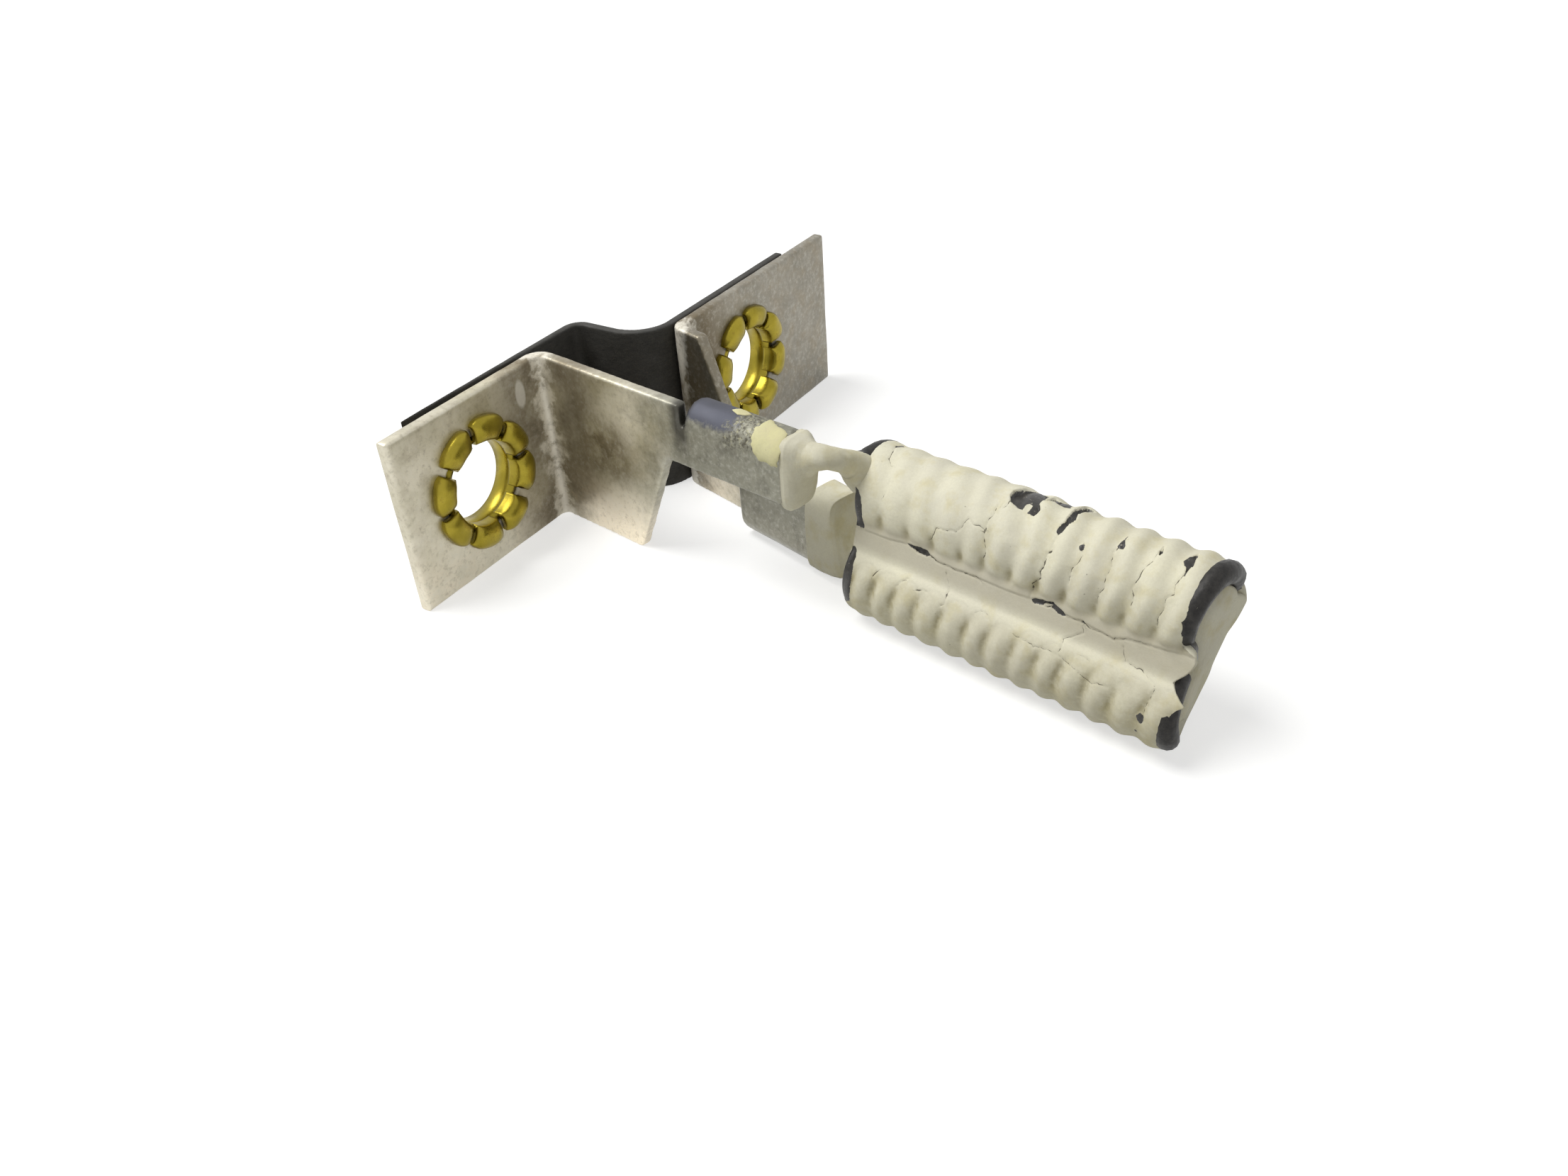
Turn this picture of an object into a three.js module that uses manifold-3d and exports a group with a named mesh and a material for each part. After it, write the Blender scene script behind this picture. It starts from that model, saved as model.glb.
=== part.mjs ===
// Hot-wire igniter element: two crimped terminals riveted to a joggled insulating strip, carrying
// a heating wire wound into two side-by-side coils that are filled and coated with cement.
// Millimetres, Z up. The mounting tabs lie along X, the coils point towards -Y.

import * as THREE from 'three';
import { mergeVertices } from 'three/addons/utils/BufferGeometryUtils.js';
import Module from 'manifold-3d';

const wasm = await Module();
wasm.setup();

const DEGREE = Math.PI / 180;

// ---------------------------------------------------------------- driving dimensions

// Terminal strip, the same blank for both terminals
const stripHeight = 10;
const stripThickness = 0.7;
const bendInnerRadius = 0.3;
const taperRun = 2.95; // the arm narrows to its neck over this length
const neckHeight = 3.45; // what is left of the strip at the neck
const neckLength = 1.6; // from the end of the taper to the crimp
const crimpLength = 6.25;
const crimpFlapHeight = 4.2; // folded wall, from the fold down
const reliefWidth = 0.3; // slot that frees the fold from the arm
const wireGrip = 4.5; // length of wire held inside a crimp

// Terminals: the tab is measured from the bend corner, the arm to the end of its taper
const leftTabLength = 11.15;
const leftArmLength = 9.35;
const leftBendAngle = 81; // between tab and arm, degrees
const leftHoleFromBend = 5.6;
const rightTabLength = 15.2;
const rightArmLength = 4.85;
const rightBendAngle = 105.3;
const rightHoleFromBend = 5.8;

// The right bend corner, seen from the left one
const bendSpacing = 6.65;
const tabStep = 5.1; // the right tab stands this much further forward

// Insulating strip behind the tabs
const insulatorThickness = 0.5;
const insulatorLeftInset = 0.85; // its ends stop short of the tab ends
const insulatorRightInset = 3.8;
const joggleX = 4.4; // the strip steps forward here
const joggleTightRadius = 0.8;
const joggleWideRadius = 2.3;

// Eyelets: a split barrel rolled over the tab, with a plain flange behind
const eyeletBoreRadius = 2.35;
const eyeletWall = 0.3;
const eyeletFlangeRadius = 3.7;
const petalRadius = 3.8;
const petalBulge = 0.62; // how far the rolled petals stand off the tab
const petalCount = 8;
const slitTurn = 7; // degrees, from the first slit to the middle of the right side
const petalGap = 0.34;
const petalRound = 0.45; // the petals are rounded over this width at both edges
const petalLift = 0.08; // their outer edge curls off the tab by this much
const eyeletChamfer = 0.15;
const slitDepth = 0.25; // the slits run this far into the barrel

// Heating wire and its two coils
const wireDiameter = 0.92;
const coilMeanRadius = 1.46;
const coilSpacing = 4.28; // between the two coil axes
const upperCoilTurns = 12; // whole turns
const lowerCoilTurns = 12;
const coilTravel = 16.55; // length of the lower coil, wire centre to wire centre
const upperLeadOut = 0.3; // the upper coil runs this much further out
const upperLeadIn = 1.2; // the upper coil starts this much nearer to the terminals
const upperStartAngle = 50; // from the left side of the coil, degrees
const lowerEndAngle = 150;
const crossoverAngle = 180; // the wire passes from coil to coil on this side
const endFlare = 0.34; // the bare ends of the coils open out to the size of the jacket
const coilStart = new THREE.Vector2(0.63, -20.24); // near end, midway between the axes
const coilYaw = -9.6; // degrees, the coils point a little to the left
const coilRoll = 17; // degrees, the upper coil leans to the right

// Cement
const jacketCrestRadius = 2.33;
const jacketValleyRadius = 2.17;
const bareMargin = 0.15; // from the end of the jacket to the last turn
const webHalfWidth = 1.78;
const webHalfHeight = 1.05;
const endFaceThickness = 0.25;
const endFaceStand = 0.1; // its back stands this far past the middle of the last turns
const plugLength = 1.9; // thick part of the cement on a lead
const sleeveRadius = 0.76;

// Clearances
const contactGap = 0.03; // between faces that are clamped together
const barrelClearance = 0.12; // eyelet barrel in its hole
const crimpClearance = 0.05; // wire to crimp wall
const cementClearance = 0.07; // cement to wire

// Cutting bodies reach this far past what they cut
const cutMargin = 1;

// Facets
const holeSides = 32;
const bendSteps = 6;
const wireSides = 6;
const stepsPerTurn = 24;
const jacketSides = 18;
const jacketRingsPerTurn = 4;
const sleeveSides = 12;

// ---------------------------------------------------------------- worked-out sizes

const foldRadius = wireDiameter / 2 + crimpClearance + stripThickness;
const wireRadius = wireDiameter / 2;
const eyeletBarrelRadius = eyeletBoreRadius + eyeletWall;
const holeRadius = eyeletBarrelRadius + barrelClearance;
const insulatorFront = stripThickness + contactGap;
const stackDepth = insulatorFront + insulatorThickness + contactGap;
const leftEyeletX = -leftHoleFromBend;
const rightEyeletX = bendSpacing + rightHoleFromBend;
const coilRise = jacketCrestRadius + Math.cos(coilRoll * DEGREE) * coilSpacing / 2;
const lowerFarEnd = wireRadius + coilTravel; // wire centre, from the near end of the cement
const upperFarEnd = lowerFarEnd + upperLeadOut;
const boreRadius = coilMeanRadius + wireRadius + cementClearance;
const coreRadius = coilMeanRadius - wireRadius - cementClearance;
const endFaceRadius = coreRadius + endFlare;

// ---------------------------------------------------------------- solids and meshes

const materials = {
  terminal: new THREE.MeshStandardMaterial({ color: 0xa29c90, roughness: 0.42, metalness: 0.9 }),
  brass: new THREE.MeshStandardMaterial({ color: 0xb2983c, roughness: 0.32, metalness: 0.95 }),
  insulator: new THREE.MeshStandardMaterial({ color: 0x343330, roughness: 0.8, metalness: 0 }),
  wire: new THREE.MeshStandardMaterial({ color: 0x403f40, roughness: 0.5, metalness: 0.4 }),
  cement: new THREE.MeshStandardMaterial({ color: 0xe3dfcb, roughness: 0.85, metalness: 0 }),
};

function toSolid(geometry) {
  const bare = new THREE.BufferGeometry();
  bare.setAttribute('position', geometry.getAttribute('position'));
  if (geometry.index) {
    bare.setIndex(geometry.index);
  }
  const merged = mergeVertices(bare, 1e-5);
  const triVerts = new Uint32Array(merged.index.array);
  if (signedVolume(merged) < 0) {
    triVerts.reverse();
  }
  return new wasm.Manifold(new wasm.Mesh({
    numProp: 3,
    vertProperties: new Float32Array(merged.getAttribute('position').array),
    triVerts,
  }));
}

function signedVolume(geometry) {
  const position = geometry.getAttribute('position');
  const corners = [new THREE.Vector3(), new THREE.Vector3(), new THREE.Vector3()];
  let volume = 0;
  for (let i = 0; i < geometry.index.count; i += 3) {
    corners.forEach((corner, k) => corner.fromBufferAttribute(position, geometry.index.getX(i + k)));
    volume += corners[0].dot(corners[1].cross(corners[2])) / 6;
  }
  return volume;
}

function toMesh(name, solid, material) {
  const { vertProperties, triVerts } = solid.getMesh();
  const geometry = new THREE.BufferGeometry();
  geometry.setAttribute('position', new THREE.BufferAttribute(vertProperties, 3));
  geometry.setIndex(new THREE.BufferAttribute(triVerts, 1));
  geometry.computeVertexNormals();
  const mesh = new THREE.Mesh(geometry, material);
  mesh.name = name;
  return mesh;
}

function box(from, to) {
  const size = new THREE.Vector3().subVectors(to, from);
  const centre = new THREE.Vector3().addVectors(from, to).multiplyScalar(0.5);
  return toSolid(new THREE.BoxGeometry(size.x, size.y, size.z).translate(centre.x, centre.y, centre.z));
}

// A round bar along Y from y = start to y = end
function barAlongY(radius, start, end, sides) {
  const bar = new THREE.CylinderGeometry(radius, radius, Math.abs(end - start), sides);
  return bar.translate(0, (start + end) / 2, 0);
}

// Extrudes a shape drawn in X and Z towards -Y, starting at y = -start
function extrudeForward(shape, start, length) {
  const geometry = new THREE.ExtrudeGeometry(shape, {
    depth: length,
    bevelEnabled: false,
    curveSegments: bendSteps,
  });
  return geometry.rotateX(Math.PI / 2).translate(0, -start, 0);
}

// ---------------------------------------------------------------- terminals

// In the arm's frame the arm runs along -Y with its hollow side at x = 0, and the tab leaves the
// bend corner at the origin towards -X. The crimp folds over at the top of the strip.

function tabDirection(bendAngle) {
  return new THREE.Vector2(-Math.sin(bendAngle), -Math.cos(bendAngle));
}

function tabNormal(bendAngle) {
  return new THREE.Vector2(-Math.cos(bendAngle), Math.sin(bendAngle));
}

function bentStripOutline(tabLength, armLength, bendAngle) {
  const along = tabDirection(bendAngle);
  const back = tabNormal(bendAngle);
  const outerRadius = bendInnerRadius + stripThickness;
  const setback = bendInnerRadius * (1 + Math.cos(bendAngle)) / Math.sin(bendAngle);
  const centre = new THREE.Vector2(-bendInnerRadius, -setback);
  const tabEnd = along.clone().multiplyScalar(tabLength);
  const tabEndBack = tabEnd.clone().addScaledVector(back, stripThickness);
  const outline = new THREE.Shape();
  outline.moveTo(0, -armLength);
  outline.lineTo(stripThickness, -armLength);
  outline.absarc(centre.x, centre.y, outerRadius, 0, Math.PI - bendAngle, false);
  outline.lineTo(tabEndBack.x, tabEndBack.y);
  outline.lineTo(tabEnd.x, tabEnd.y);
  outline.absarc(centre.x, centre.y, bendInnerRadius, Math.PI - bendAngle, 0, true);
  outline.closePath();
  return outline;
}

// What the taper removes from the arm, drawn along the arm (x) and upwards (y)
function taperCutter(armLength) {
  const neckBottom = stripHeight - neckHeight;
  const slope = taperRun / neckBottom;
  const reach = armLength + neckLength + cutMargin;
  const outline = new THREE.Shape();
  outline.moveTo(armLength - taperRun - slope * cutMargin, -cutMargin);
  outline.lineTo(reach, -cutMargin);
  outline.lineTo(reach, neckBottom);
  outline.lineTo(armLength, neckBottom);
  outline.closePath();
  const width = stripThickness + 2 * cutMargin;
  const prism = new THREE.ExtrudeGeometry(outline, { depth: width, bevelEnabled: false });
  // drawn x runs along -Y, drawn y upwards and the depth along -X
  const axes = new THREE.Matrix4().makeBasis(
    new THREE.Vector3(0, -1, 0),
    new THREE.Vector3(0, 0, 1),
    new THREE.Vector3(-1, 0, 0),
  );
  return toSolid(prism.applyMatrix4(axes).translate(stripThickness + cutMargin, 0, 0));
}

function crimpSection() {
  const foldCentre = stripHeight - foldRadius;
  const flapBottom = stripHeight - crimpFlapHeight;
  const section = new THREE.Shape();
  section.moveTo(0, stripHeight - neckHeight);
  section.lineTo(stripThickness, stripHeight - neckHeight);
  section.absarc(foldRadius, foldCentre, foldRadius - stripThickness, Math.PI, 0, true);
  section.lineTo(2 * foldRadius - stripThickness, flapBottom);
  section.lineTo(2 * foldRadius, flapBottom);
  section.absarc(foldRadius, foldCentre, foldRadius, 0, Math.PI, false);
  section.closePath();
  return section;
}

function terminalSolid(tabLength, armLength, bendDegrees, holeFromBend) {
  const bendAngle = bendDegrees * DEGREE;
  const crimpStart = armLength + neckLength;
  const outline = bentStripOutline(tabLength, crimpStart, bendAngle);
  const strip = new THREE.ExtrudeGeometry(outline, {
    depth: stripHeight,
    bevelEnabled: false,
    curveSegments: bendSteps,
  });
  const relief = box(
    new THREE.Vector3(-cutMargin, -crimpStart - cutMargin, stripHeight - foldRadius),
    new THREE.Vector3(stripThickness + cutMargin, -crimpStart + reliefWidth, stripHeight + cutMargin),
  );
  const holeCentre = tabDirection(bendAngle).multiplyScalar(holeFromBend)
    .addScaledVector(tabNormal(bendAngle), stripThickness / 2);
  const hole = barAlongY(holeRadius, -cutMargin, cutMargin, holeSides)
    .rotateZ(Math.PI / 2 - bendAngle)
    .translate(holeCentre.x, holeCentre.y, stripHeight / 2);
  const crimp = extrudeForward(crimpSection(), crimpStart, crimpLength);
  return toSolid(strip)
    .subtract(taperCutter(armLength))
    .subtract(relief)
    .subtract(toSolid(hole))
    .add(toSolid(crimp));
}

// Puts a terminal in its arm's frame and turns it so that its tab lies along X
function makeTerminal(name, tabLength, armLength, bendDegrees, holeFromBend) {
  const solid = terminalSolid(tabLength, armLength, bendDegrees, holeFromBend);
  const mesh = toMesh(name, solid, materials.terminal);
  mesh.rotation.z = (bendDegrees - 90) * DEGREE;
  return mesh;
}

const terminalLeft = makeTerminal(
  'terminal_left', leftTabLength, leftArmLength, leftBendAngle, leftHoleFromBend,
);

// The right terminal is turned over about the forward axis, so that its fold is at the bottom
const terminalRight = makeTerminal(
  'terminal_right', rightTabLength, rightArmLength, rightBendAngle, rightHoleFromBend,
);
const rightSide = new THREE.Group();
rightSide.position.set(bendSpacing, -tabStep, stripHeight);
rightSide.rotation.y = Math.PI;
rightSide.add(terminalRight);

// ---------------------------------------------------------------- insulating strip

function insulatorOutline() {
  const half = insulatorThickness / 2;
  const leftY = insulatorFront + half;
  const rightY = leftY - tabStep;
  const leftEnd = insulatorLeftInset - leftTabLength;
  const rightEnd = bendSpacing + rightTabLength - insulatorRightInset;
  const tight = joggleTightRadius;
  const wide = joggleWideRadius;
  const outline = new THREE.Shape();
  outline.moveTo(leftEnd, leftY - half);
  outline.absarc(joggleX - tight, leftY - tight, tight - half, Math.PI / 2, 0, true);
  outline.absarc(joggleX + wide, rightY + wide, wide + half, Math.PI, 1.5 * Math.PI, false);
  outline.lineTo(rightEnd, rightY - half);
  outline.lineTo(rightEnd, rightY + half);
  outline.absarc(joggleX + wide, rightY + wide, wide - half, 1.5 * Math.PI, Math.PI, true);
  outline.absarc(joggleX - tight, leftY - tight, tight + half, 0, Math.PI / 2, false);
  outline.lineTo(leftEnd, leftY + half);
  outline.closePath();
  return outline;
}

function makeInsulator() {
  const strip = new THREE.ExtrudeGeometry(insulatorOutline(), {
    depth: stripHeight,
    bevelEnabled: false,
    curveSegments: bendSteps,
  });
  const leftHole = barAlongY(holeRadius, insulatorFront - cutMargin, stackDepth + cutMargin, holeSides)
    .translate(leftEyeletX, 0, stripHeight / 2);
  const rightHole = barAlongY(holeRadius, insulatorFront - cutMargin, stackDepth + cutMargin, holeSides)
    .translate(rightEyeletX, -tabStep, stripHeight / 2);
  const solid = toSolid(strip).subtract(toSolid(leftHole)).subtract(toSolid(rightHole));
  return toMesh('insulator_strip', solid, materials.insulator);
}

// ---------------------------------------------------------------- eyelets

// Half section of an eyelet: radius and depth behind the front face of the tab
function eyeletProfile() {
  const bore = eyeletBoreRadius;
  const back = stackDepth + eyeletWall;
  const lip = -contactGap;
  return [
    [bore, slitDepth],
    [bore, -petalBulge * 0.2],
    [bore + petalRound * 0.4, -petalBulge * 0.75],
    [bore + petalRound, -petalBulge],
    [petalRadius - petalRound, -petalBulge],
    [petalRadius - petalRound * 0.3, -petalBulge * 0.65],
    [petalRadius, lip - petalLift],
    [petalRadius - petalLift, lip],
    [eyeletBarrelRadius, lip],
    [eyeletBarrelRadius, stackDepth],
    [eyeletFlangeRadius, stackDepth],
    [eyeletFlangeRadius, back],
    [bore + eyeletChamfer, back],
    [bore, back - eyeletChamfer],
    [bore, slitDepth],
  ].map(([radius, depth]) => new THREE.Vector2(radius, depth));
}

function makeEyelet(name, x, y) {
  const reach = petalRadius + cutMargin;
  const depth = petalBulge + slitDepth + cutMargin;
  let solid = toSolid(new THREE.LatheGeometry(eyeletProfile(), holeSides));
  for (let i = 0; i < petalCount / 2; i += 1) {
    const slit = new THREE.BoxGeometry(2 * reach, depth, petalGap)
      .translate(0, slitDepth - depth / 2, 0)
      .rotateY(i * 2 * Math.PI / petalCount - slitTurn * DEGREE);
    solid = solid.subtract(toSolid(slit));
  }
  const mesh = toMesh(name, solid, materials.brass);
  mesh.position.set(x, y, stripHeight / 2);
  return mesh;
}

// ---------------------------------------------------------------- coil frame

// In the coil frame -Y runs along the coils from their near end and Z from the lower axis to the
// upper one. Angles round a coil start at its left side and pass over its top.

const coilFrame = new THREE.Group();
coilFrame.position.set(coilStart.x, coilStart.y, coilRise);
coilFrame.rotation.set(0, coilRoll * DEGREE, coilYaw * DEGREE, 'ZYX');
coilFrame.updateMatrix();

function onCoil(side, degrees, travel, radius) {
  const angle = degrees * DEGREE;
  const axisHeight = side * coilSpacing / 2;
  const local = new THREE.Vector3(
    -radius * Math.cos(angle),
    -travel,
    axisHeight + radius * Math.sin(angle),
  );
  return local.applyMatrix4(coilFrame.matrix);
}

// ---------------------------------------------------------------- heating wire

const upperStart = wireRadius - upperLeadIn;
const upperTurned = upperCoilTurns * 360 + crossoverAngle - upperStartAngle;
const lowerTurned = lowerCoilTurns * 360 - crossoverAngle + lowerEndAngle;

// A turn is flared up to one angle from its free end, and back to the mean radius at another
function flare(degreesFromEnd, wideTo, narrowFrom) {
  return endFlare * (1 - THREE.MathUtils.smoothstep(degreesFromEnd, wideTo, narrowFrom));
}

function upperCoilPoint(fraction) {
  const travel = THREE.MathUtils.lerp(upperStart, upperFarEnd, fraction);
  const turned = upperTurned * fraction;
  const radius = coilMeanRadius + flare(turned, 30, 110) + flare(upperTurned - turned, 180, 270);
  return onCoil(1, upperStartAngle + turned, travel, radius);
}

function lowerCoilPoint(fraction) {
  const travel = THREE.MathUtils.lerp(lowerFarEnd, wireRadius, fraction);
  const turned = lowerTurned * fraction;
  const radius = coilMeanRadius + flare(turned, 180, 270);
  return onCoil(-1, crossoverAngle + turned, travel, radius);
}

function sampleCoil(coilPoint, turned) {
  const steps = Math.round(turned / 360 * stepsPerTurn);
  return Array.from({ length: steps + 1 }, (_, i) => coilPoint(i / steps));
}

// The middle of a crimp's nest at a distance along its arm
function crimpNest(terminal, distance) {
  terminal.updateWorldMatrix(true, false);
  const nest = new THREE.Vector3(foldRadius, -distance, stripHeight - foldRadius);
  return nest.applyMatrix4(terminal.matrixWorld);
}

const leftCrimpEnd = leftArmLength + neckLength + crimpLength;
const rightCrimpEnd = rightArmLength + neckLength + crimpLength;

// A lead: straight out of its crimp, then bent into the first turn of its coil
function leadPoints(terminal, crimpEnd, coilPoint, coilTangent) {
  const steps = 10;
  const straight = 1.1 * wireDiameter;
  const mouth = crimpNest(terminal, crimpEnd + straight);
  const start = crimpNest(terminal, crimpEnd - wireGrip);
  const forward = new THREE.Vector3().subVectors(mouth, start).normalize();
  const span = mouth.distanceTo(coilPoint);
  const bend = new THREE.CubicBezierCurve3(
    mouth,
    mouth.clone().addScaledVector(forward, span * 0.5),
    coilPoint.clone().addScaledVector(coilTangent, -span * 0.4),
    coilPoint,
  );
  return [start, crimpNest(terminal, crimpEnd), ...bend.getPoints(steps)];
}

const smallStep = 1e-4;
const upperFirst = upperCoilPoint(0);
const lowerLast = lowerCoilPoint(1);
const upperTangent = upperCoilPoint(smallStep).sub(upperFirst).normalize();
const lowerTangent = lowerCoilPoint(1 - smallStep).sub(lowerLast).normalize();
const leftLead = leadPoints(terminalLeft, leftCrimpEnd, upperFirst, upperTangent);
const rightLead = leadPoints(terminalRight, rightCrimpEnd, lowerLast, lowerTangent);

function crossoverPoints() {
  const steps = 5;
  const above = upperCoilPoint(1);
  const below = lowerCoilPoint(0);
  return Array.from({ length: steps - 1 }, (_, i) => above.clone().lerp(below, (i + 1) / steps));
}

function wirePath() {
  return [
    ...leftLead.slice(0, -1),
    ...sampleCoil(upperCoilPoint, upperTurned),
    ...crossoverPoints(),
    ...sampleCoil(lowerCoilPoint, lowerTurned),
    ...rightLead.slice(0, -1).reverse(),
  ];
}

// Smallest clear distance between stretches of a tube that are not next to each other
function leastGap(points, diameter, apart) {
  const lengths = [0];
  for (let i = 1; i < points.length; i += 1) {
    lengths.push(lengths[i - 1] + points[i].distanceTo(points[i - 1]));
  }
  let least = Infinity;
  for (let i = 0; i < points.length; i += 1) {
    for (let k = i + 1; k < points.length; k += 1) {
      if (lengths[k] - lengths[i] > apart) {
        least = Math.min(least, points[i].distanceTo(points[k]) - diameter);
      }
    }
  }
  return least;
}

// Tangent, normal and side of a tube at each point, carried along without twist
function framesAlong(points) {
  const normal = new THREE.Vector3(0, 0, 1);
  return points.map((point, i) => {
    const before = points[Math.max(i - 1, 0)];
    const after = points[Math.min(i + 1, points.length - 1)];
    const tangent = new THREE.Vector3().subVectors(after, before).normalize();
    normal.addScaledVector(tangent, -normal.dot(tangent)).normalize();
    const side = new THREE.Vector3().crossVectors(tangent, normal);
    return { point, tangent, normal: normal.clone(), side };
  });
}

// A ring of points in the plane of a frame, with its centre moved by lift along the normal
function ringPoints(frame, halfWidth, halfHeight, lift, sides) {
  return Array.from({ length: sides }, (_, k) => {
    const angle = k / sides * 2 * Math.PI;
    return frame.point.clone()
      .addScaledVector(frame.side, halfWidth * Math.cos(angle))
      .addScaledVector(frame.normal, halfHeight * Math.sin(angle) + lift);
  });
}

// Skins a list of rings; a loop of rings closes on itself, otherwise flat fans close both ends
function skin(rings, closed) {
  const sides = rings[0].length;
  const positions = rings.flat().flatMap((point) => point.toArray());
  const index = [];
  const spans = closed ? rings.length : rings.length - 1;
  for (let i = 0; i < spans; i += 1) {
    const next = (i + 1) % rings.length;
    for (let k = 0; k < sides; k += 1) {
      const a = i * sides + k;
      const b = i * sides + (k + 1) % sides;
      const c = next * sides + k;
      const d = next * sides + (k + 1) % sides;
      index.push(a, c, b, b, c, d);
    }
  }
  if (!closed) {
    const last = (rings.length - 1) * sides;
    for (let k = 1; k < sides - 1; k += 1) {
      index.push(0, k, k + 1, last, last + k + 1, last + k);
    }
  }
  const geometry = new THREE.BufferGeometry();
  geometry.setAttribute('position', new THREE.Float32BufferAttribute(positions, 3));
  geometry.setIndex(index);
  return geometry;
}

function makeHeatingWire() {
  const points = wirePath();
  const halfTurn = Math.PI * coilMeanRadius;
  console.log(`heating_wire least gap ${leastGap(points, wireDiameter, halfTurn).toFixed(3)} mm`);
  const rings = framesAlong(points)
    .map((frame) => ringPoints(frame, wireRadius, wireRadius, 0, wireSides));
  return toMesh('heating_wire', toSolid(skin(rings, false)), materials.wire);
}

// ---------------------------------------------------------------- cement

// The jacket's ribs follow the wire: its radius swells over each turn
function ribbedLobe(side, start, end, travelAt, pitch) {
  const rings = [];
  const count = Math.round((end - start) / pitch * jacketRingsPerTurn);
  for (let i = 0; i <= count; i += 1) {
    const travel = THREE.MathUtils.lerp(start, end, i / count);
    rings.push(Array.from({ length: jacketSides }, (_, k) => {
      const degrees = k / jacketSides * 360;
      const phase = (travel - travelAt(degrees)) / pitch * 2 * Math.PI;
      const swell = 0.5 + 0.5 * Math.cos(phase);
      const radius = THREE.MathUtils.lerp(jacketValleyRadius, jacketCrestRadius, swell);
      const angle = degrees * DEGREE;
      return new THREE.Vector3(
        -radius * Math.cos(angle),
        -travel,
        side * coilSpacing / 2 + radius * Math.sin(angle),
      );
    }));
  }
  return toSolid(skin(rings, false));
}

const upperPitch = (upperFarEnd - upperStart) / upperTurned * 360;
const lowerPitch = coilTravel / lowerTurned * 360;
const farMiddle = (upperFarEnd + lowerFarEnd) / 2;
const jacketSlope = upperPitch / 4 / jacketCrestRadius; // its end leans with the last turns
const faceSlope = upperPitch / 4 / coilMeanRadius;
const faceRise = upperLeadOut / coilSpacing; // the end face also leans with the two ends

// Tilts whatever lies at y = -travel or beyond, by its place to the right and upwards
function leanForward(geometry, travel, slope, rise) {
  const position = geometry.getAttribute('position');
  for (let i = 0; i < position.count; i += 1) {
    if (position.getY(i) < smallStep - travel) {
      const lean = slope * position.getX(i) + rise * position.getZ(i);
      position.setY(i, position.getY(i) - lean);
    }
  }
  return geometry;
}

// The jacket stops behind the last turn of a coil, which stays bare
function lobe(side, farEnd, travelAt, pitch) {
  const width = 2 * (jacketCrestRadius + cutMargin);
  const end = farEnd - pitch / 4 - wireRadius - bareMargin;
  const kept = new THREE.BoxGeometry(width, end, width)
    .translate(0, -end / 2, side * coilSpacing / 2);
  return ribbedLobe(side, 0, farEnd, travelAt, pitch)
    .intersect(toSolid(leanForward(kept, end, jacketSlope, 0)));
}

function makeJacket() {
  const upperTravelAt = (degrees) => upperStart + (degrees - upperStartAngle) / 360 * upperPitch;
  const lowerTravelAt = (degrees) => lowerFarEnd - (degrees - crossoverAngle) / 360 * lowerPitch;
  const upper = lobe(1, upperFarEnd, upperTravelAt, upperPitch);
  const lower = lobe(-1, lowerFarEnd, lowerTravelAt, lowerPitch);
  const webEnd = lowerFarEnd - lowerPitch / 4 - wireRadius - bareMargin;
  const web = new THREE.BoxGeometry(2 * webHalfWidth, webEnd, 2 * webHalfHeight)
    .translate(0, -webEnd / 2, 0);
  let solid = upper.add(lower).add(toSolid(leanForward(web, webEnd, jacketSlope, 0)));
  for (const side of [1, -1]) {
    const bore = barAlongY(boreRadius, cutMargin, -upperFarEnd, stepsPerTurn)
      .translate(0, 0, side * coilSpacing / 2);
    solid = solid.subtract(toSolid(bore));
  }
  return toMesh('cement_jacket', solid, materials.cement);
}

// The filling of both coils, joined by the flat face that closes their far end
function makeCore() {
  const start = farMiddle + endFaceStand;
  const outline = new THREE.Shape();
  outline.absarc(0, coilSpacing / 2, endFaceRadius, 0, Math.PI, false);
  outline.absarc(0, -coilSpacing / 2, endFaceRadius, Math.PI, 2 * Math.PI, false);
  outline.closePath();
  const face = new THREE.ExtrudeGeometry(outline, {
    depth: endFaceThickness,
    bevelEnabled: false,
    curveSegments: stepsPerTurn / 2,
  }).rotateX(Math.PI / 2).translate(0, -start, 0);
  const fillingEnd = start + endFaceThickness / 2;
  let solid = toSolid(leanForward(face, start, faceSlope, faceRise));
  for (const side of [1, -1]) {
    const filling = barAlongY(coreRadius, 0, -fillingEnd, stepsPerTurn)
      .translate(0, 0, side * coilSpacing / 2);
    solid = solid.add(toSolid(leanForward(filling, fillingEnd, faceSlope, faceRise)));
  }
  return toMesh('cement_core', solid, materials.cement);
}

// Cement on a lead: as large as the crimp's mouth at first, then drawn in to a thin coat
function makeLeadCement(name, lead, flip) {
  const bend = new THREE.CatmullRomCurve3(lead.slice(1));
  const length = bend.getLength();
  const covered = length - 2 * wireDiameter - contactGap;
  const steps = 8;
  const points = Array.from({ length: steps + 1 }, (_, i) => (
    bend.getPointAt((contactGap + covered * i / steps) / length)
  ));
  const frames = framesAlong(points);
  const mouthLift = flip * (foldRadius - crimpFlapHeight / 2);
  const outer = frames.map((frame, i) => {
    const fade = THREE.MathUtils.smoothstep(covered * i / steps, 0, plugLength);
    const halfWidth = THREE.MathUtils.lerp(foldRadius, sleeveRadius, fade);
    const halfHeight = THREE.MathUtils.lerp(crimpFlapHeight / 2, sleeveRadius, fade);
    return ringPoints(frame, halfWidth, halfHeight, mouthLift * (1 - fade), sleeveSides);
  });
  const bore = wireRadius + cementClearance;
  const inner = frames.map((frame) => ringPoints(frame, bore, bore, 0, sleeveSides)).reverse();
  return toMesh(name, toSolid(skin([...outer, ...inner], true)), materials.cement);
}

// ---------------------------------------------------------------- assembly

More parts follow.
